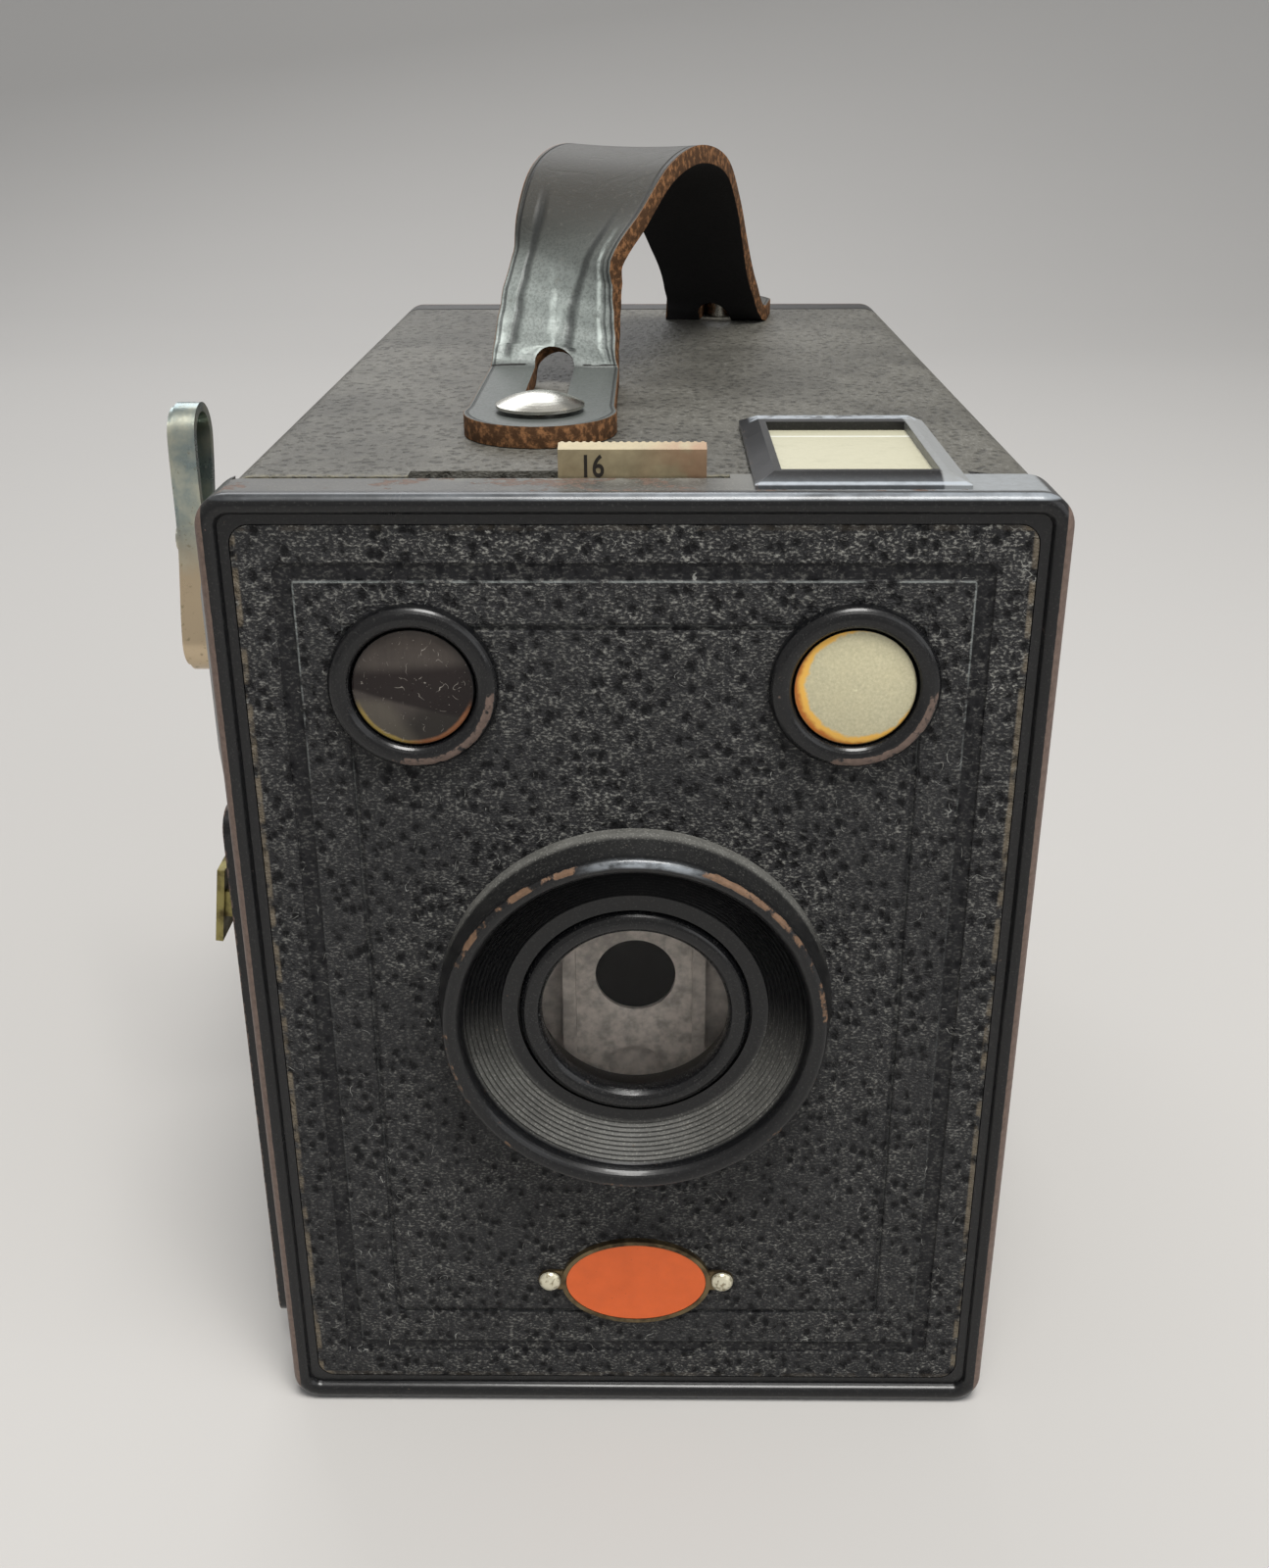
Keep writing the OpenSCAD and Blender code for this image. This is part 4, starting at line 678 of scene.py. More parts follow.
def nickel_finish():
    """Nickel plate gone slightly yellow, with fine scratches and dull spots."""
    look = Finish("dull_nickel", metallic=1.0)
    c = colours()
    cloud = look.noise(4 * MM, 4, 0.6)
    scratch = look.noise(0.4 * MM, 4, 0.7, look.stretched((1, 0.15, 1)))
    spots = look.patches(0.7 * MM, 0.64, 0.74, 3, 0.6)
    base = look.tint(cloud, shade(c.nickel, 0.8), c.nickel)
    look.paint(
        colour=look.tint(spots * 0.5, base, (0.3, 0.25, 0.17)),
        roughness=look.scaled(cloud, 0.14, 0.32) + spots * 0.2 + scratch * 0.05,
        normal=look.bump(scratch, 0.015 * MM, 0.5),
    )
    return look.material


def key_finish():
    """The key's plating, with painted reflections: bluish on its upper wing and beige on the lower one."""
    look = Finish("key_plating", metallic=0.95)
    low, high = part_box("winding_key")
    middle = (low[2] + high[2]) / 2
    _, _, z = look.axes()
    cloud = look.noise(5 * MM, 4, 0.6)
    scratch = look.noise(0.4 * MM, 4, 0.7, look.stretched((1, 1, 0.15)))
    spots = look.patches(0.8 * MM, 0.6, 0.72, 3, 0.6)
    # Painted reflections: the upper wing is tinted bluish and the lower one beige.
    upper = look.ease(z + (cloud - 0.5) * 10 * MM, middle - 5 * MM, middle + 3 * MM)
    blue = look.tint(look.ease(cloud, 0.35, 0.65), (0.26, 0.32, 0.32), (0.5, 0.51, 0.42))
    base = look.tint(upper, (0.56, 0.45, 0.31), blue)
    look.paint(
        colour=look.tint(spots * 0.5, base, (0.2, 0.17, 0.1)),
        roughness=look.scaled(cloud, 0.2, 0.38) + spots * 0.15,
        normal=look.bump(scratch + cloud * 2, 0.03 * MM, 0.6),
    )
    return look.material


def pin_finish():
    """Pale plating of the badge's pins, with grime in patches."""
    look = Finish("pale_pins", metallic=0.55)
    grime = look.patches(0.5 * MM, 0.5, 0.7, 3)
    look.paint(
        colour=look.tint(grime, (0.72, 0.68, 0.52), (0.3, 0.26, 0.17)),
        roughness=look.scaled(grime, 0.3, 0.5),
        normal=look.bump(grime, 0.02 * MM, 0.5),
    )
    return look.material


def badge_enamel():
    """Orange-red glass enamel, a little uneven, with small dark pocks."""
    look = Finish("badge_enamel_finish", coat=0.15, coat_roughness=0.1, specular=0.3)
    c = colours()
    cloud = look.noise(2.5 * MM, 4, 0.6)
    pock = look.patches(0.35 * MM, 0.66, 0.74, 3, 0.6)
    base = look.tint(cloud, shade(c.badge, 0.82), shade(c.badge, 1.12))
    look.paint(
        colour=look.tint(pock * 0.6, base, (0.16, 0.03, 0.012)),
        roughness=look.scaled(cloud, 0.22, 0.4),
        normal=look.bump(cloud * 0.5 - pock * 0.4, 0.05 * MM, 0.6),
    )
    return look.material


def clear_glass(name, tone, dust_amount):
    """Clear glass with specks of dust lying on it."""
    look = Finish(name, transmission=1.0, ior=1.2, specular=0.5)
    specks = look.ease(look.cells(1.6 * MM), 0.11, 0.05) + look.patches(0.3 * MM, 0.7, 0.76, 2) * 0.5
    smear = look.patches(5 * MM, 0.4, 0.75, 3)
    dirt = (specks * dust_amount).least(1.0)
    base = look.tint(dirt, tone, (0.55, 0.53, 0.48))
    look.paint(colour=base, roughness=look.scaled(smear, 0.02, 0.06) + dirt * 0.5)
    return look.material


def clouded_lens():
    """The right finder lens: its silvering shows pale and speckled, and has gone yellow at one side."""
    look = Finish("clouded_finder_lens", coat=0.25, coat_roughness=0.08, specular=0.3)
    x, _, z = look.axes()
    ragged = (look.noise(1.1 * MM, 4, 0.6) - 0.5) * 0.9 * MM
    dx, dz = x - (FINDER_X + 0.65 * MM), z - (FINDER_Z + 0.35 * MM)
    inner = distance(dx, dz) + ragged
    radius = look.ring_distance(FINDER_X, FINDER_Z)
    crescent = look.ease(inner, 5.15 * MM, 5.5 * MM)
    rust = look.ease(inner, 5.7 * MM, 6.3 * MM)
    grain_noise = look.noise(0.3 * MM, 3, 0.7)
    cloud = look.noise(2.5 * MM, 3)
    pale = look.tint(grain_noise, (0.3, 0.29, 0.19), (0.74, 0.68, 0.46))
    pale = look.tint(cloud * 0.4, pale, (0.6, 0.53, 0.32))
    base = look.tint(crescent, pale, (0.85, 0.48, 0.09))
    base = look.tint(rust, base, (0.5, 0.15, 0.02))
    edge = look.ease(radius, 5.55 * MM, 5.85 * MM) * look.patches(1.4 * MM, 0.4, 0.55, 3)
    look.paint(
        colour=look.tint(edge * 0.6, base, (0.3, 0.22, 0.09)),
        roughness=look.scaled(grain_noise, 0.3, 0.5),
        normal=look.bump(grain_noise, 0.03 * MM, 0.4),
    )
    return look.material


def smoky_lens():
    """The left finder lens: brown shadows behind clear glass, with lint and a yellow line at its foot."""
    look = Finish("smoky_finder_lens", coat=0.15, coat_roughness=0.03, specular=0.2)
    x, _, z = look.axes()
    dx, dz = x + FINDER_X, z - FINDER_Z
    radius = look.ring_distance(-FINDER_X, FINDER_Z)
    width = 0.9 * MM + (dx + 6 * MM) * 0.16
    above = look.ease(dz + dx * 0.1, width + 0.9 * MM, width - 0.5 * MM)
    below = look.ease(dz + dx * 0.12, -1 * width - 0.25 * MM, -1 * width + 0.35 * MM)
    streaks = look.noise(0.5 * MM, 3, 0.6, look.stretched((1, 1, 0.12)))
    cloud = look.noise(3 * MM, 3, 0.55)
    base = look.tint(cloud * 0.6 + streaks * 0.5, (0.03, 0.025, 0.022), (0.08, 0.066, 0.057))
    base = look.tint(look.ease(dx * 0.7 - dz, 1 * MM, 4 * MM) * 0.8, base, (0.012, 0.01, 0.008))
    base = look.tint(above * below * 0.9, base, (0.008, 0.004, 0.004))
    crescent = look.ease(dz * 0.6 + dx, -2.2 * MM, -4.2 * MM) * look.ease(dz, -0.8 * MM, -1.8 * MM)
    base = look.tint(crescent * 0.5, base, (0.12, 0.105, 0.08))
    rim = look.ease(radius + (look.noise(1.5 * MM, 3) - 0.5) * 0.5 * MM, 5.25 * MM, 5.55 * MM)
    low = look.ease(dz, -1 * MM, -3 * MM)
    rust = look.tint(look.ease(dx, -2 * MM, 1 * MM), (0.34, 0.24, 0.06), (0.26, 0.1, 0.04))
    base = look.tint(rim * low * 0.85, base, rust)
    specks = look.patches(0.16 * MM, 0.7, 0.76, 2, 0.6)
    lint = look.lint(1.3 * MM, 0.008, 0.003, 1.1 * MM, 0.56, 0.62)
    dirt = specks.most(lint)
    base = look.tint(dirt * 0.75, base, (0.35, 0.32, 0.28))
    look.paint(colour=base, roughness=look.scaled(cloud, 0.05, 0.14) + dirt * 0.3)
    return look.material


def ground_glass():
    """Cream ground glass with grime in patches and one pale strip across it."""
    look = Finish("ground_glass_finish", specular=0.5, coat=0.25, coat_roughness=0.25)
    c = colours()
    grain = look.noise(0.2 * MM, 3, 0.6)
    grime = look.patches(3 * MM, 0.45, 0.75, 3, 0.6)
    _, y, _ = look.axes()
    strip = look.band(y - FRONT - STRIP_DEPTH, 0.35 * MM, 0.2 * MM)
    base = look.tint(grain, shade(c.ground_glass, 0.85), c.ground_glass)
    base = look.tint(grime * 0.4, base, (0.3, 0.29, 0.2))
    base = look.tint(strip * 0.7, base, (0.86, 0.87, 0.8))
    look.paint(colour=base, roughness=look.scaled(grime, 0.3, 0.5), normal=look.bump(grain, 0.02 * MM, 0.3))
    return look.material


def mottled(name, blotches, dark, light, rough, **constants):
    """A finish of two tones in soft blotches, which also vary its roughness."""
    look = Finish(name, **constants)
    haze = look.noise(*blotches)
    look.paint(colour=look.tint(haze, dark, light), roughness=look.scaled(haze, *rough))
    return look.material


def mirror_finish():
    """Silvering with a faint haze."""
    tones = (0.7, 0.72, 0.72), (0.85, 0.86, 0.86)
    return mottled("finder_mirror_finish", (3 * MM, 3), *tones, (0.03, 0.12), metallic=1.0)


def spool_paint():
    """Black paint of the spools, rubbed through in spots."""
    look = Finish("spool_paint", specular=0.5)
    rub = look.patches(1.4 * MM, 0.62, 0.72, 4, 0.7)
    haze = look.noise(5 * MM, 3)
    base = look.tint(haze, (0.012, 0.012, 0.014), (0.03, 0.03, 0.032))
    look.paint(
        colour=look.tint(rub * 0.7, base, (0.25, 0.24, 0.23)),
        roughness=look.scaled(haze, 0.25, 0.45),
        metallic=rub * 0.6,
    )
    return look.material


def red_celluloid():
    """Deep red window that light passes through."""
    tones = (0.35, 0.012, 0.008), (0.55, 0.03, 0.015)
    return mottled("red_celluloid", (2 * MM, 3), *tones, (0.12, 0.3), transmission=0.6, ior=1.45)


# Places on the strap as shares of its UV: where it bends up from its foot, and where its leg ends
BEND = 0.262
LEG_END = 0.36
# Streaks on the front leg: start across, slope, half width, first and last place along, strength
FOLDS = (
    (0.27, 0.0, 0.045, 0.27, 0.47, 1.0),
    (0.545, 1.15, 0.04, 0.29, 0.45, 1.0),
    (0.84, 0.0, 0.025, 0.265, 0.43, 0.6),
)
# The polish streaks are painted highlights; they also lower the roughness and raise the bump.
POLISH_AND_HIGHLIGHTS = (
    (0.12, 0.0, 0.12, BEND, 0.365, 1.0),
    (0.395, 2.4, 0.05, BEND, 0.375, 0.8),
    (0.46, -0.4, 0.03, 0.27, 0.4, 0.7),
    (0.77, 0.1, 0.035, 0.265, 0.43, 0.9),
)


def strap_top():
    """Greyed strap leather with long folds, a pressed line along each edge and polished streaks; the streaks
    carry painted highlights, the folds, pressed lines and crease painted shade, and the front leg painted
    sheen.
    """
    look = Finish("strap_leather", specular=0.32)
    c = colours()
    uv = look.coordinates.outputs["UV"]
    across, along, _ = look.axes(uv)

    def drawn_out(scale, size, detail, distortion=0.0):
        """Noise that is drawn out along or across the strap."""
        place = look.node("ShaderNodeMapping", inputs={"Vector": uv, "Scale": scale}).outputs[0]
        return look.noise(size, detail, 0.6, place, distortion)

    def streaks(rows):
        """Soft streaks along the front leg, the strongest where some cross."""
        found = None
        for start, slope, wide, low, high, strength in rows:
            sway = (drawn_out((1.0, 6.0, 1.0), 1 / 1.5, 2.0) - 0.5) * 0.16
            span = look.ease(along, low, low + 0.02) * look.ease(along, high, high - 0.04)
            streak = look.band(across - start - (along - 0.3) * slope + sway, wide, wide * 0.15)
            streak = streak * span * strength
            found = found.most(streak) if found else streak
        return found

    side = abs(across - 0.5) * 2
    line = look.band(side - 0.8, 0.06, 0.015)
    bead = look.band(side - 0.9, 0.09, 0.02)
    fine = look.noise(0.35 * MM, 4, 0.6)
    worn = look.patches(1.6 * MM, 0.34, 0.6, 4, 0.62)
    wrinkle = look.ease(drawn_out((3.0, 34.0, 1.0), 1 / 1.6, 4.0, 0.8), 0.36, 0.52)
    fold = streaks(FOLDS)
    shine = streaks(POLISH_AND_HIGHLIGHTS)
    crease = look.band(along - BEND - (across - 0.5) * 0.012, 0.0022, 0.0008)
    crease = crease * look.ease(abs(across - 0.5), 0.08, 0.1)
    scuff = look.patches(1.1 * MM, 0.56, 0.72, 4, 0.7)
    arch = look.ease(along, LEG_END, LEG_END + 0.1)
    # Painted sheen: the front leg is painted about three times lighter than the foot, and the arch darker.
    leg = look.ease(along, BEND - 0.007, BEND + 0.013) * (1 - arch)
    base = look.tint(leg, shade(c.strap, 1.4), shade(c.strap, 4.4))
    base = look.tint(arch, base, (c.strap[0] * 0.62, c.strap[1] * 0.52, c.strap[2] * 0.46))
    base = look.tint(look.ease(fine, 0.45, 0.62) * 0.34, base, shade(c.strap, 0.7))
    # Painted highlight: the pale streaks, broken up by the worn patches.
    base = look.tint(shine * worn * 0.9, base, shade(c.strap, 10.5))
    base = look.tint(scuff * 0.25, base, (0.17, 0.165, 0.14))
    # Painted shade: the pressed lines, the folds and the crease are tinted near black.
    base = look.tint(line * 0.7, base, (0.02, 0.021, 0.022))
    base = look.tint(fold * 0.75, base, (0.02, 0.022, 0.022))
    base = look.tint(crease, base, (0.008, 0.006, 0.005))
    edge = look.ease(side + look.noise(0.8 * MM, 3) * 0.05, 0.985, 1.01)
    base = look.tint(edge, base, c.strap_edge)
    height = wrinkle * 0.08 + shine * 0.3 - line * 0.7 + bead * 0.35 + fine * 0.15 - fold * 0.9 - crease
    look.paint(
        colour=base,
        roughness=look.scaled(fine, 0.36, 0.5) + scuff * 0.12 - shine * 0.08 + arch * 0.1,
        normal=look.bump(height, 0.3 * MM, 0.8),
    )
    return look.material


def strap_edge():
    """The raw cut edge: brown and fibrous, darker and lighter in patches."""
    look = Finish("strap_cut_edge", specular=0.2)
    c = colours()
    fibre = look.noise(0.25 * MM, 5, 0.7, look.stretched((1, 1, 2.5)))
    chips = look.patches(0.9 * MM, 0.45, 0.65, 4, 0.65)
    base = look.tint(chips, shade(c.strap_edge, 0.4), shade(c.strap_edge, 1.5))
    look.paint(
        colour=look.tint(look.ease(fibre, 0.6, 0.75) * 0.5, base, (0.22, 0.13, 0.08)),
        roughness=look.scaled(fibre, 0.7, 0.9),
        normal=look.bump(fibre, 0.2 * MM, 0.8),
    )
    return look.material


def strap_under():
    """The flesh side: near black with a short nap."""
    look = Finish("strap_flesh_side", specular=0.15)
    nap = look.noise(0.3 * MM, 4, 0.7)
    look.paint(
        colour=look.tint(nap, (0.008, 0.008, 0.009), (0.03, 0.028, 0.027)),
        roughness=look.scaled(nap, 0.7, 0.9),
        normal=look.bump(nap, 0.12 * MM, 0.7),
    )
    return look.material


def ink_finish():
    """Faded black ink."""
    tones = (0.006, 0.005, 0.004), (0.03, 0.024, 0.018)
    return mottled("stop_number_ink", (0.4 * MM, 3), *tones, (0.5, 0.7), specular=0.3)


# Which CAD nodes take which finish
FINISHES = [
    (lambda: enamel_finish("cap_enamel", rim_wear, 0.16, rim_dust, rim_highlight), ["front_cap"]),
    (
        lambda: enamel_finish("ring_enamel", ring_wear, 0.2, ring_dust, ring_highlight, (0.17, 0.1, 0.06)),
        ["lens_ring"],
    ),
    (
        lambda: enamel_finish("finder_ring_enamel", finder_ring_wear, 0.14),
        ["finder_ring_left", "finder_ring_right"],
    ),
    (lambda: enamel_finish("glass_ring_enamel", None, 0.12), ["glass_ring", "red_window_ring"]),
    (
        lambda: enamel_finish("window_frame_enamel", frame_wear, 0.22, frame_dust, frame_highlights),
        ["finder_frame_top", "finder_frame_side"],
    ),
    (lambda: enamel_finish("guard_enamel", guard_wear, 0.16), ["lever_guard"]),
    (lambda: enamel_finish("door_enamel", door_wear, 0.22), ["rear_door"]),
    (front_leatherette, ["front_covering"]),
    (body_leatherette, ["body_covering", "door_covering"]),
    (
        black_sheet,
        [
            "finder_housing_side", "finder_housing_top", "shutter_board", "lens_cell", "lens_retainer",
            "body_shell", "light_trap_frame", "carrier_sides", "light_cone", "film_gate",
        ],
    ),
    (
        plain_steel,
        [
            "time_slide_guide", "roller_top", "roller_bottom",
            "spool_pins", "door_hinge", "body_hinge", "return_spring",
        ],
    ),
    (
        lambda: brass_finish("plain_brass", colours().brass, (0.2, 0.13, 0.06)),
        ["mechanism_pillars", "lever_pivot", "disc_pivot", "spring_post", "time_slide"],
    ),
    (lambda: brass_finish("olive_brass", (0.3, 0.26, 0.1), (0.08, 0.06, 0.025)), ["release_lever"]),
    (lambda: brass_finish("dark_badge_brass", (0.2, 0.15, 0.08), (0.05, 0.035, 0.02)), ["badge_plate"]),
    (aperture_finish, ["aperture_slide"]),
    (plate_finish, ["mechanism_plate", "slide_rails"]),
    (lambda: black_sheet("shutter_black", 0.003, 0.08, 0.0), ["shutter_disc"]),
    (nickel_finish, ["key_bush", "door_catch", "strap_studs", "tripod_sockets"]),
    (key_finish, ["winding_key"]),
    (pin_finish, ["badge_pins"]),
    (badge_enamel, ["badge_enamel"]),
    (lambda: clear_glass("front_glass_finish", (0.86, 0.85, 0.84), 0.35), ["front_glass"]),
    (lambda: clear_glass("lens_glass_finish", (0.9, 0.93, 0.95), 0.05), ["meniscus_lens"]),
    (smoky_lens, ["finder_lens_left"]),
    (clouded_lens, ["finder_lens_right"]),
    (ground_glass, ["finder_window_top", "finder_window_side"]),
    (mirror_finish, ["finder_mirror_side", "finder_mirror_top"]),
    (spool_paint, ["takeup_spool", "supply_spool"]),
    (red_celluloid, ["red_window"]),
]


class BoxCameraFinishes(bpy.types.Operator):
    """Gives every CAD part its finish"""

    bl_idname = "object.box_camera_finishes"
    bl_label = "Finishes"

    def execute(self, context):
        for build, names in FINISHES:
            material = build()
            for name in names:
                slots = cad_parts[name].data.materials
                slots.clear()
                slots.append(material)
        return {"FINISHED"}


# ------------------------------------------------------------------ strap

# The strap's middle line as in the CAD solid: x, depth, height over the top, half width, in millimetres
STRAP_ROUTE = [
    (-10.1, 46, 0, 7.9), (-10.1, 55.2, 0, 7.8), (-9.7, 59, 4.6, 7.6), (-8.7, 62, 10.8, 7.6),
    (-6.8, 65, 17.2, 8.4), (-4.4, 71, 22.2, 9.3), (-1, 80, 24, 9.6), (3, 90, 22.3, 9.2),
    (6, 97.5, 17.2, 8.2), (8.4, 103, 10.6, 7.4), (10.4, 107, 4.2, 7.2), (11.6, 110.6, 0.1, 7.4),
    (12.6, 118, 0, 7.8),
]
STUD_FRONT = (-10.1, 28)
STUD_REAR = (12.5, 116.5)
REAR_HEADING = (0.148, 0.989)
STRAP_END = 8.1
FOOT_HALF = 7.8
LEG_START = 54.5
SLOT_REACH_FRONT = 32.0
SLOT_REACH_REAR = 10.0

# The grid of the strap: rows so far apart, and columns on each side by their share of the half width
ROW_STEP = 0.9
LEAST_STEP = 0.04
SIDE_SHARES = (0, 0.18, 0.36, 0.54, 0.68, 0.78, 0.86, 0.93, 0.97, 1)
SIDE = len(SIDE_SHARES)

# The leather's cup over its arch and the ripple on its front leg, in millimetres along the strap
CUP_DEPTH = 0.35
CUP_START = 40
CUP_END = 22
CUP_RAMP = 12
RIPPLE_DEPTH = 0.16
RIPPLE_MIDDLE = 46
RIPPLE_REACH = 9


def blend_four(a, b, c, d, t):
    """A smooth curve from b to c that heads along a to c and b to d."""
    return 0.5 * (2 * b + (c - a) * t + (2 * a - 5 * b + 4 * c - d) * t**2 + (3 * b - a - 3 * c + d) * t**3)


def strap_line():
    """Points along the strap's middle line, from tip to tip, with their half widths."""
    route = np.array(STRAP_ROUTE, dtype=float)
    x, y = STUD_FRONT
    points = [(x, y - STRAP_END, 0, STRAP_END), (x, y, 0, STRAP_END)]
    points += [(x, depth, 0, FOOT_HALF) for depth in np.linspace(y, LEG_START, 12)[1:]]
    for i in range(1, len(route) - 2):
        for t in np.linspace(0, 1, 14, endpoint=False):
            points.append(tuple(blend_four(*route[i - 1 : i + 3], t)))
    last, stud, heading = route[-2][:2], np.array(STUD_REAR), np.array(REAR_HEADING)
    points += [(*(last + (stud - last) * step), 0, FOOT_HALF) for step in np.linspace(0, 1, 6)]
    points.append((*(stud + heading * STRAP_END), 0, STRAP_END))
    line = np.array(points)
    line[:, 2] = np.maximum(line[:, 2], 0)
    return line


def slot_radius():
    """Half the slots' width, in millimetres."""
    return sizes().slot_width / MM / 2


def strap_stations(line):
    """Lengths along the line at which the strap gets a row, close together at all round ends."""
    steps = np.linalg.norm(np.diff(line[:, :3], axis=0), axis=1)
    length = np.concatenate([[0], np.cumsum(steps)])
    total = length[-1]
    strap_end = STRAP_END * (1 - np.cos(np.linspace(0.06, math.pi / 2, 12)))
    slot_end = slot_radius() * (1 - np.cos(np.linspace(0, math.pi / 2, 7)))
    middle = np.arange(STRAP_END + ROW_STEP, total - STRAP_END - 0.4, ROW_STEP)
    front_slot = STRAP_END + SLOT_REACH_FRONT - slot_end
    rear_slot = total - STRAP_END - SLOT_REACH_REAR + slot_end
    rows = np.sort(np.concatenate([strap_end, middle, total - strap_end, front_slot, rear_slot]))
    kept = [rows[0]]
    for row in rows[1:]:
        if row - kept[-1] > LEAST_STEP:
            kept.append(row)
    return length, total, np.array(kept)


def slot_half(s, total):
    """Half the width of the slot at length s."""
    half = slot_radius()
    spans = (
        (STRAP_END - half, STRAP_END + SLOT_REACH_FRONT),
        (total - STRAP_END - SLOT_REACH_REAR, total - STRAP_END + half),
    )
    for low, high in spans:
        if low < s < high:
            near = min(s - low, high - s, half)
            return math.sqrt(half**2 - (half - near) ** 2)
    return 0.0


def end_half(s, total, half):
    """Half the width of the strap at length s, rounded at both ends."""
    near = min(s, total - s)
    if near < STRAP_END:
        return min(half, math.sqrt(max(0.0, STRAP_END**2 - (STRAP_END - near) ** 2)))
    return half


def cross_section(s, line, length, total):
    """The strap at length s: its middle, its side and up directions, its half width and its slot's."""
    place = [np.interp(s, length, line[:, k]) for k in range(4)]
    back, fore = (
        [np.interp(min(max(s + step, 0), total), length, line[:, k]) for k in range(3)]
        for step in (-0.6, 0.6)
    )
    along = Vector(np.subtract(fore, back)).normalized()
    side = Vector((along.y, -along.x, 0)).normalized()
    half = max(0.05, end_half(s, total, place[3]))
    return Vector(place[:3]), side, side.cross(along), half, min(slot_half(s, total), half - 0.02)


def lay_grid(mesh, rows, spots, total):
    """Moves a flat grid to the strap's middle surface."""
    columns = sorted({round(v.co.x, 5) for v in mesh.vertices})
    lines = sorted({round(v.co.y, 5) for v in mesh.vertices})
    if len(lines) != len(rows) or len(columns) != 2 * SIDE:
        raise RuntimeError("the strap's grid has other rows or columns than were asked for")
    column_of = {x: i for i, x in enumerate(columns)}
    row_of = {y: i for i, y in enumerate(lines)}
    lift = sizes().strap_thickness / MM / 2
    for vertex in mesh.vertices:
        column, row = column_of[round(vertex.co.x, 5)], row_of[round(vertex.co.y, 5)]
        s = rows[row]
        middle, side, up, half, slot = spots[row]
        right = column >= SIDE
        share = SIDE_SHARES[column - SIDE if right else SIDE - 1 - column]
        out = (slot + (half - slot) * share) * (1 if right else -1)
        cup = CUP_DEPTH * (out / half) ** 2
        for inside in (s - CUP_START, total - CUP_END - s):
            cup *= min(1.0, max(0.0, inside / CUP_RAMP))
        ripple = RIPPLE_DEPTH * math.sin(s * 1.7 + out * 0.35)
        ripple *= max(0.0, 1 - abs(s - RIPPLE_MIDDLE) / RIPPLE_REACH)
        place = middle + side * out + up * (cup + ripple + lift)
        vertex.co = Vector((place.x * MM, FRONT + place.y * MM, TOP + 0.1 * MM + place.z * MM))


def cut_slots(mesh, spots):
    """Deletes the faces inside the slots, joins the middle elsewhere and turns all faces up."""
    bpy.ops.object.mode_set(mode="EDIT")
    bpy.ops.mesh.select_all(action="DESELECT")
    bpy.ops.object.mode_set(mode="OBJECT")
    for face in mesh.polygons:
        columns = {i % (2 * SIDE) for i in face.vertices}
        widest = max(spots[i // (2 * SIDE)][4] for i in face.vertices)
        face.select = columns == {SIDE - 1, SIDE} and widest > 0.01
    bpy.ops.object.mode_set(mode="EDIT")
    bpy.ops.mesh.select_mode(type="FACE")
    bpy.ops.mesh.delete(type="FACE")
    bpy.ops.mesh.select_all(action="SELECT")
    bpy.ops.mesh.remove_doubles(threshold=0.004 * MM)
    bpy.ops.mesh.normals_make_consistent(inside=False)
    bpy.ops.object.mode_set(mode="OBJECT")
    if sum(face.normal.z for face in mesh.polygons) < 0:
        bpy.ops.object.mode_set(mode="EDIT")
        bpy.ops.mesh.select_all(action="SELECT")
        bpy.ops.mesh.flip_normals()
        bpy.ops.object.mode_set(mode="OBJECT")


def deselect_all():
    """Leaves nothing selected."""
    bpy.ops.object.select_all(action="DESELECT")


def settle(piece):
    """Bakes a piece's place into its mesh, so that its object lies at the origin."""
    deselect_all()
    piece.select_set(True)
    bpy.context.view_layer.objects.active = piece
    bpy.ops.object.transform_apply(location=True, rotation=True, scale=True)


def apply_modifier(piece, kind, **settings):
    """Adds one modifier and applies it."""
    modifier = piece.modifiers.new(kind.title(), kind)
    for key, value in settings.items():
        setattr(modifier, key, value)
    bpy.context.view_layer.objects.active = piece
    bpy.ops.object.modifier_apply(modifier=modifier.name)


class BoxCameraStrap(bpy.types.Operator):
    """Models the leather carrying strap over its CAD solid"""

    bl_idname = "object.box_camera_strap"
    bl_label = "Strap"

    def execute(self, context):
        line = strap_line()
        length, total, rows = strap_stations(line)
        spots = [cross_section(s, line, length, total) for s in rows]
        deselect_all()
        bpy.ops.mesh.primitive_grid_add(
            x_subdivisions=2 * SIDE - 1, y_subdivisions=len(rows) - 1, size=1, calc_uvs=True
        )
        strap = context.active_object
        strap.name = "leather_strap"
        lay_grid(strap.data, rows, spots, total)
        cut_slots(strap.data, spots)
        for build in (strap_top, strap_under, strap_edge):
            strap.data.materials.append(build())
        apply_modifier(
            strap, "SOLIDIFY", thickness=sizes().strap_thickness, offset=0, use_even_offset=True,
            material_offset=1, material_offset_rim=2,
        )
        apply_modifier(
            strap, "BEVEL", width=0.4 * MM, segments=2, limit_method="ANGLE", angle_limit=math.radians(50),
            material=-1,
        )
        deselect_all()
        strap.select_set(True)
        bpy.ops.object.shade_smooth_by_angle(angle=math.radians(40))
        settle(strap)
        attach(strap, "camera")
        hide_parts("strap")
        return {"FINISHED"}


# ------------------------------------------------------------------ small pieces


NUMBER = "16"
NUMBER_INSET = (2.0 * MM, 2.95 * MM)
NUMBER_PROUD = 0.01 * MM


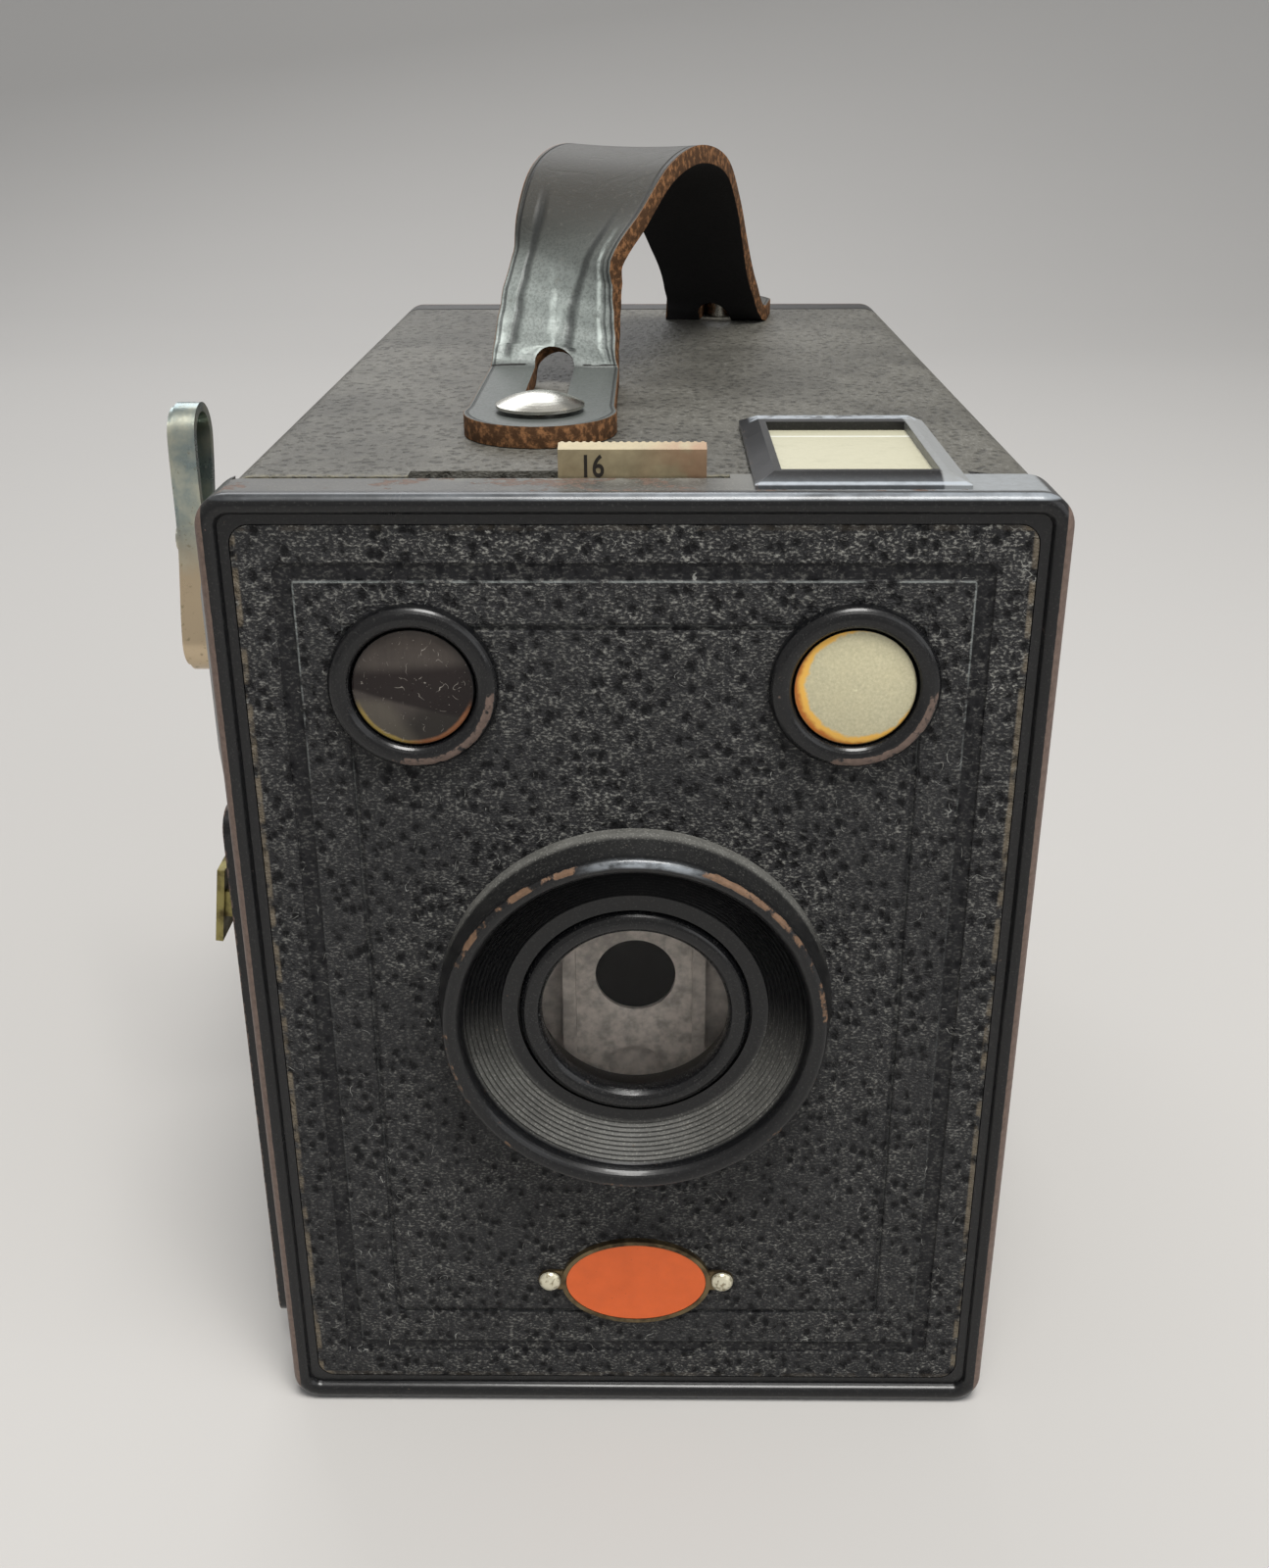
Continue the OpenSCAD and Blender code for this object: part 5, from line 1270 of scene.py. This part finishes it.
class BoxCameraTabNumber(bpy.types.Operator):
    """Prints a stop number on the aperture slide's tab"""

    bl_idname = "object.box_camera_tab_number"
    bl_label = "Stop number"

    def execute(self, context):
        deselect_all()
        low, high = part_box("aperture_slide")
        place = (low[0] + NUMBER_INSET[0], low[1] - NUMBER_PROUD, high[2] - NUMBER_INSET[1])
        bpy.ops.object.text_add(location=place, rotation=(math.radians(90), 0, 0))
        number = context.active_object
        number.name = "stop_number"
        number.data.body = NUMBER
        number.data.size = sizes().number_height * 1.4
        number.data.extrude = 0.02 * MM
        number.data.offset = 0.05 * MM
        bpy.ops.object.convert(target="MESH")
        number.scale = (0.8, 1, 1)
        settle(number)
        number.data.materials.append(ink_finish())
        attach(number, "aperture")
        return {"FINISHED"}


# ------------------------------------------------------------------ stage

CAMERA_PLACE = (1.52 * MM, -201.38 * MM, 142.45 * MM)
CAMERA_TURN = (66.72, 0.0, 0.62)
CAMERA_ROLL = -0.19
CAMERA_LENS = 35.61
CAMERA_SHIFT = -0.0257

# The floor's size and middle, how far its back edge is drawn back and up, and the bend between them
FLOOR_SIZE = 4
FLOOR_PLACE = (0, -0.6, -0.0002)
BACKDROP_STEP = (0, 0.4, 2.2)
BACKDROP_BEND = 0.7

# Each lamp's place, the height that it faces, its size, its setting with its share of it, and its colour
LAMPS = {
    "key_lamp": ((0.09, -0.36, 0.95), 0.05, 0.38, "key_power", 1, (1, 0.985, 0.96)),
    "fill_lamp": ((0.75, -0.5, 0.45), 0.05, 0.7, "fill_power", 1, (0.95, 0.97, 1)),
    "back_lamp": ((-0.2, 0.75, 0.7), 0.08, 0.6, "key_power", 0.3, (0.97, 0.98, 1)),
}


def area_lamp(name, place, target, size, power, colour):
    """A square soft lamp at place that faces target."""
    deselect_all()
    bpy.ops.object.light_add(type="AREA", location=place)
    lamp = bpy.context.active_object
    lamp.name = name
    lamp.data.shape = "SQUARE"
    lamp.data.size = size
    lamp.data.energy = power
    lamp.data.color = colour
    lamp.rotation_euler = (Vector(target) - Vector(place)).to_track_quat("-Z", "Y").to_euler()


def floor_finish(tone):
    """Pale matt floor that varies a little."""
    tones = shade(tone, 0.98), shade(tone, 1.02)
    return mottled("pale_floor", (0.3, 3), *tones, (0.75, 0.85), specular=0.2)


def build_floor(tone):
    """A floor whose back edge bends up into the backdrop."""
    bpy.ops.mesh.primitive_plane_add(size=FLOOR_SIZE, location=FLOOR_PLACE)
    floor = bpy.context.active_object
    floor.name = "floor_sweep"
    bpy.ops.object.mode_set(mode="EDIT")
    bpy.ops.mesh.select_mode(type="EDGE")
    bpy.ops.mesh.select_all(action="DESELECT")
    bpy.ops.object.mode_set(mode="OBJECT")
    for edge in floor.data.edges:
        edge.select = all(floor.data.vertices[i].co.y > 0 for i in edge.vertices)
    bpy.ops.object.mode_set(mode="EDIT")
    bpy.ops.mesh.extrude_region_move(TRANSFORM_OT_translate={"value": BACKDROP_STEP})
    bpy.ops.object.mode_set(mode="OBJECT")
    apply_modifier(floor, "BEVEL", width=BACKDROP_BEND, segments=12, limit_method="ANGLE")
    settle(floor)
    bpy.ops.object.shade_smooth()
    floor.data.materials.append(floor_finish(tone))


def build_world(tone, strength):
    """Soft light from all round; the eye, reflections and glass see the floor's own colour instead."""
    world = bpy.data.worlds.new("studio")
    bpy.context.scene.world = world
    world.use_nodes = True
    nodes, links = world.node_tree.nodes, world.node_tree.links
    light = nodes["Background"]
    light.inputs["Color"].default_value = (0.93, 0.96, 1, 1)
    light.inputs["Strength"].default_value = strength
    shown = nodes.new("ShaderNodeBackground")
    shown.inputs["Color"].default_value = (*tone, 1)
    shown.inputs["Strength"].default_value = 1.0
    paths = nodes.new("ShaderNodeLightPath")
    mix = nodes.new("ShaderNodeMixShader")
    seen = Value(world.node_tree, paths.outputs["Is Camera Ray"])
    for ray in ("Is Glossy Ray", "Is Transmission Ray"):
        seen = seen.most(Value(world.node_tree, paths.outputs[ray]))
    links.new(seen.socket, mix.inputs[0])
    links.new(light.outputs[0], mix.inputs[1])
    links.new(shown.outputs[0], mix.inputs[2])
    links.new(mix.outputs[0], nodes["World Output"].inputs["Surface"])


def build_camera():
    """The camera that took the photo, as it was solved from the body's edges."""
    deselect_all()
    bpy.ops.object.camera_add(location=CAMERA_PLACE, rotation=[math.radians(a) for a in CAMERA_TURN])
    camera = bpy.context.active_object
    camera.rotation_euler.rotate_axis("Z", math.radians(CAMERA_ROLL))
    camera.data.sensor_fit = "AUTO"
    camera.data.sensor_width = 36
    camera.data.lens = CAMERA_LENS
    camera.data.shift_y = CAMERA_SHIFT
    camera.data.clip_start = 0.01
    camera.data.dof.use_dof = False
    bpy.context.scene.camera = camera
    bpy.context.scene.view_settings.view_transform = "Standard"


class BoxCameraStageBuild(bpy.types.Operator):
    """Adds the floor, the lamps and the camera"""

    bl_idname = "object.box_camera_stage_build"
    bl_label = "Stage"

    def execute(self, context):
        stage = context.scene.box_camera_stage
        deselect_all()
        build_floor(stage.floor)
        for name, (place, height, size, setting, share, colour) in LAMPS.items():
            area_lamp(name, place, (0, 0, height), size, getattr(stage, setting) * share, colour)
        build_world(stage.floor, stage.world)
        build_camera()
        return {"FINISHED"}


# ------------------------------------------------------------------ add-on


class BoxCameraPanel(bpy.types.Panel):
    """Lists the pieces, colours and sizes of the camera"""

    bl_idname = "VIEW3D_PT_box_camera"
    bl_label = "Box Camera"
    bl_space_type = "VIEW_3D"
    bl_region_type = "UI"
    bl_category = "Box Camera"

    def draw(self, context):
        layout = self.layout
        for step in STEPS:
            layout.operator(step.bl_idname)
        for group in (colours(), sizes(), context.scene.box_camera_stage):
            column = layout.column(align=True)
            for name in group.__annotations__:
                column.prop(group, name)


GROUPS = {
    "box_camera_colours": BoxCameraColours,
    "box_camera_sizes": BoxCameraSizes,
    "box_camera_stage": BoxCameraStage,
}
STEPS = (BoxCameraStageBuild, BoxCameraFinishes, BoxCameraStrap, BoxCameraTabNumber)


def register():
    """Makes the add-on's classes and settings known."""
    for item in (*GROUPS.values(), *STEPS, BoxCameraPanel):
        bpy.utils.register_class(item)
    for name, group in GROUPS.items():
        setattr(bpy.types.Scene, name, bpy.props.PointerProperty(type=group))


def unregister():
    """Takes them away again."""
    for name in GROUPS:
        delattr(bpy.types.Scene, name)
    for item in (BoxCameraPanel, *reversed(STEPS), *GROUPS.values()):
        bpy.utils.unregister_class(item)


def main():
    """Registers the add-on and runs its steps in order."""
    register()
    bpy.ops.object.box_camera_stage_build()
    bpy.ops.object.box_camera_finishes()
    bpy.ops.object.box_camera_strap()
    bpy.ops.object.box_camera_tab_number()


if __name__ == "__main__":
    main()
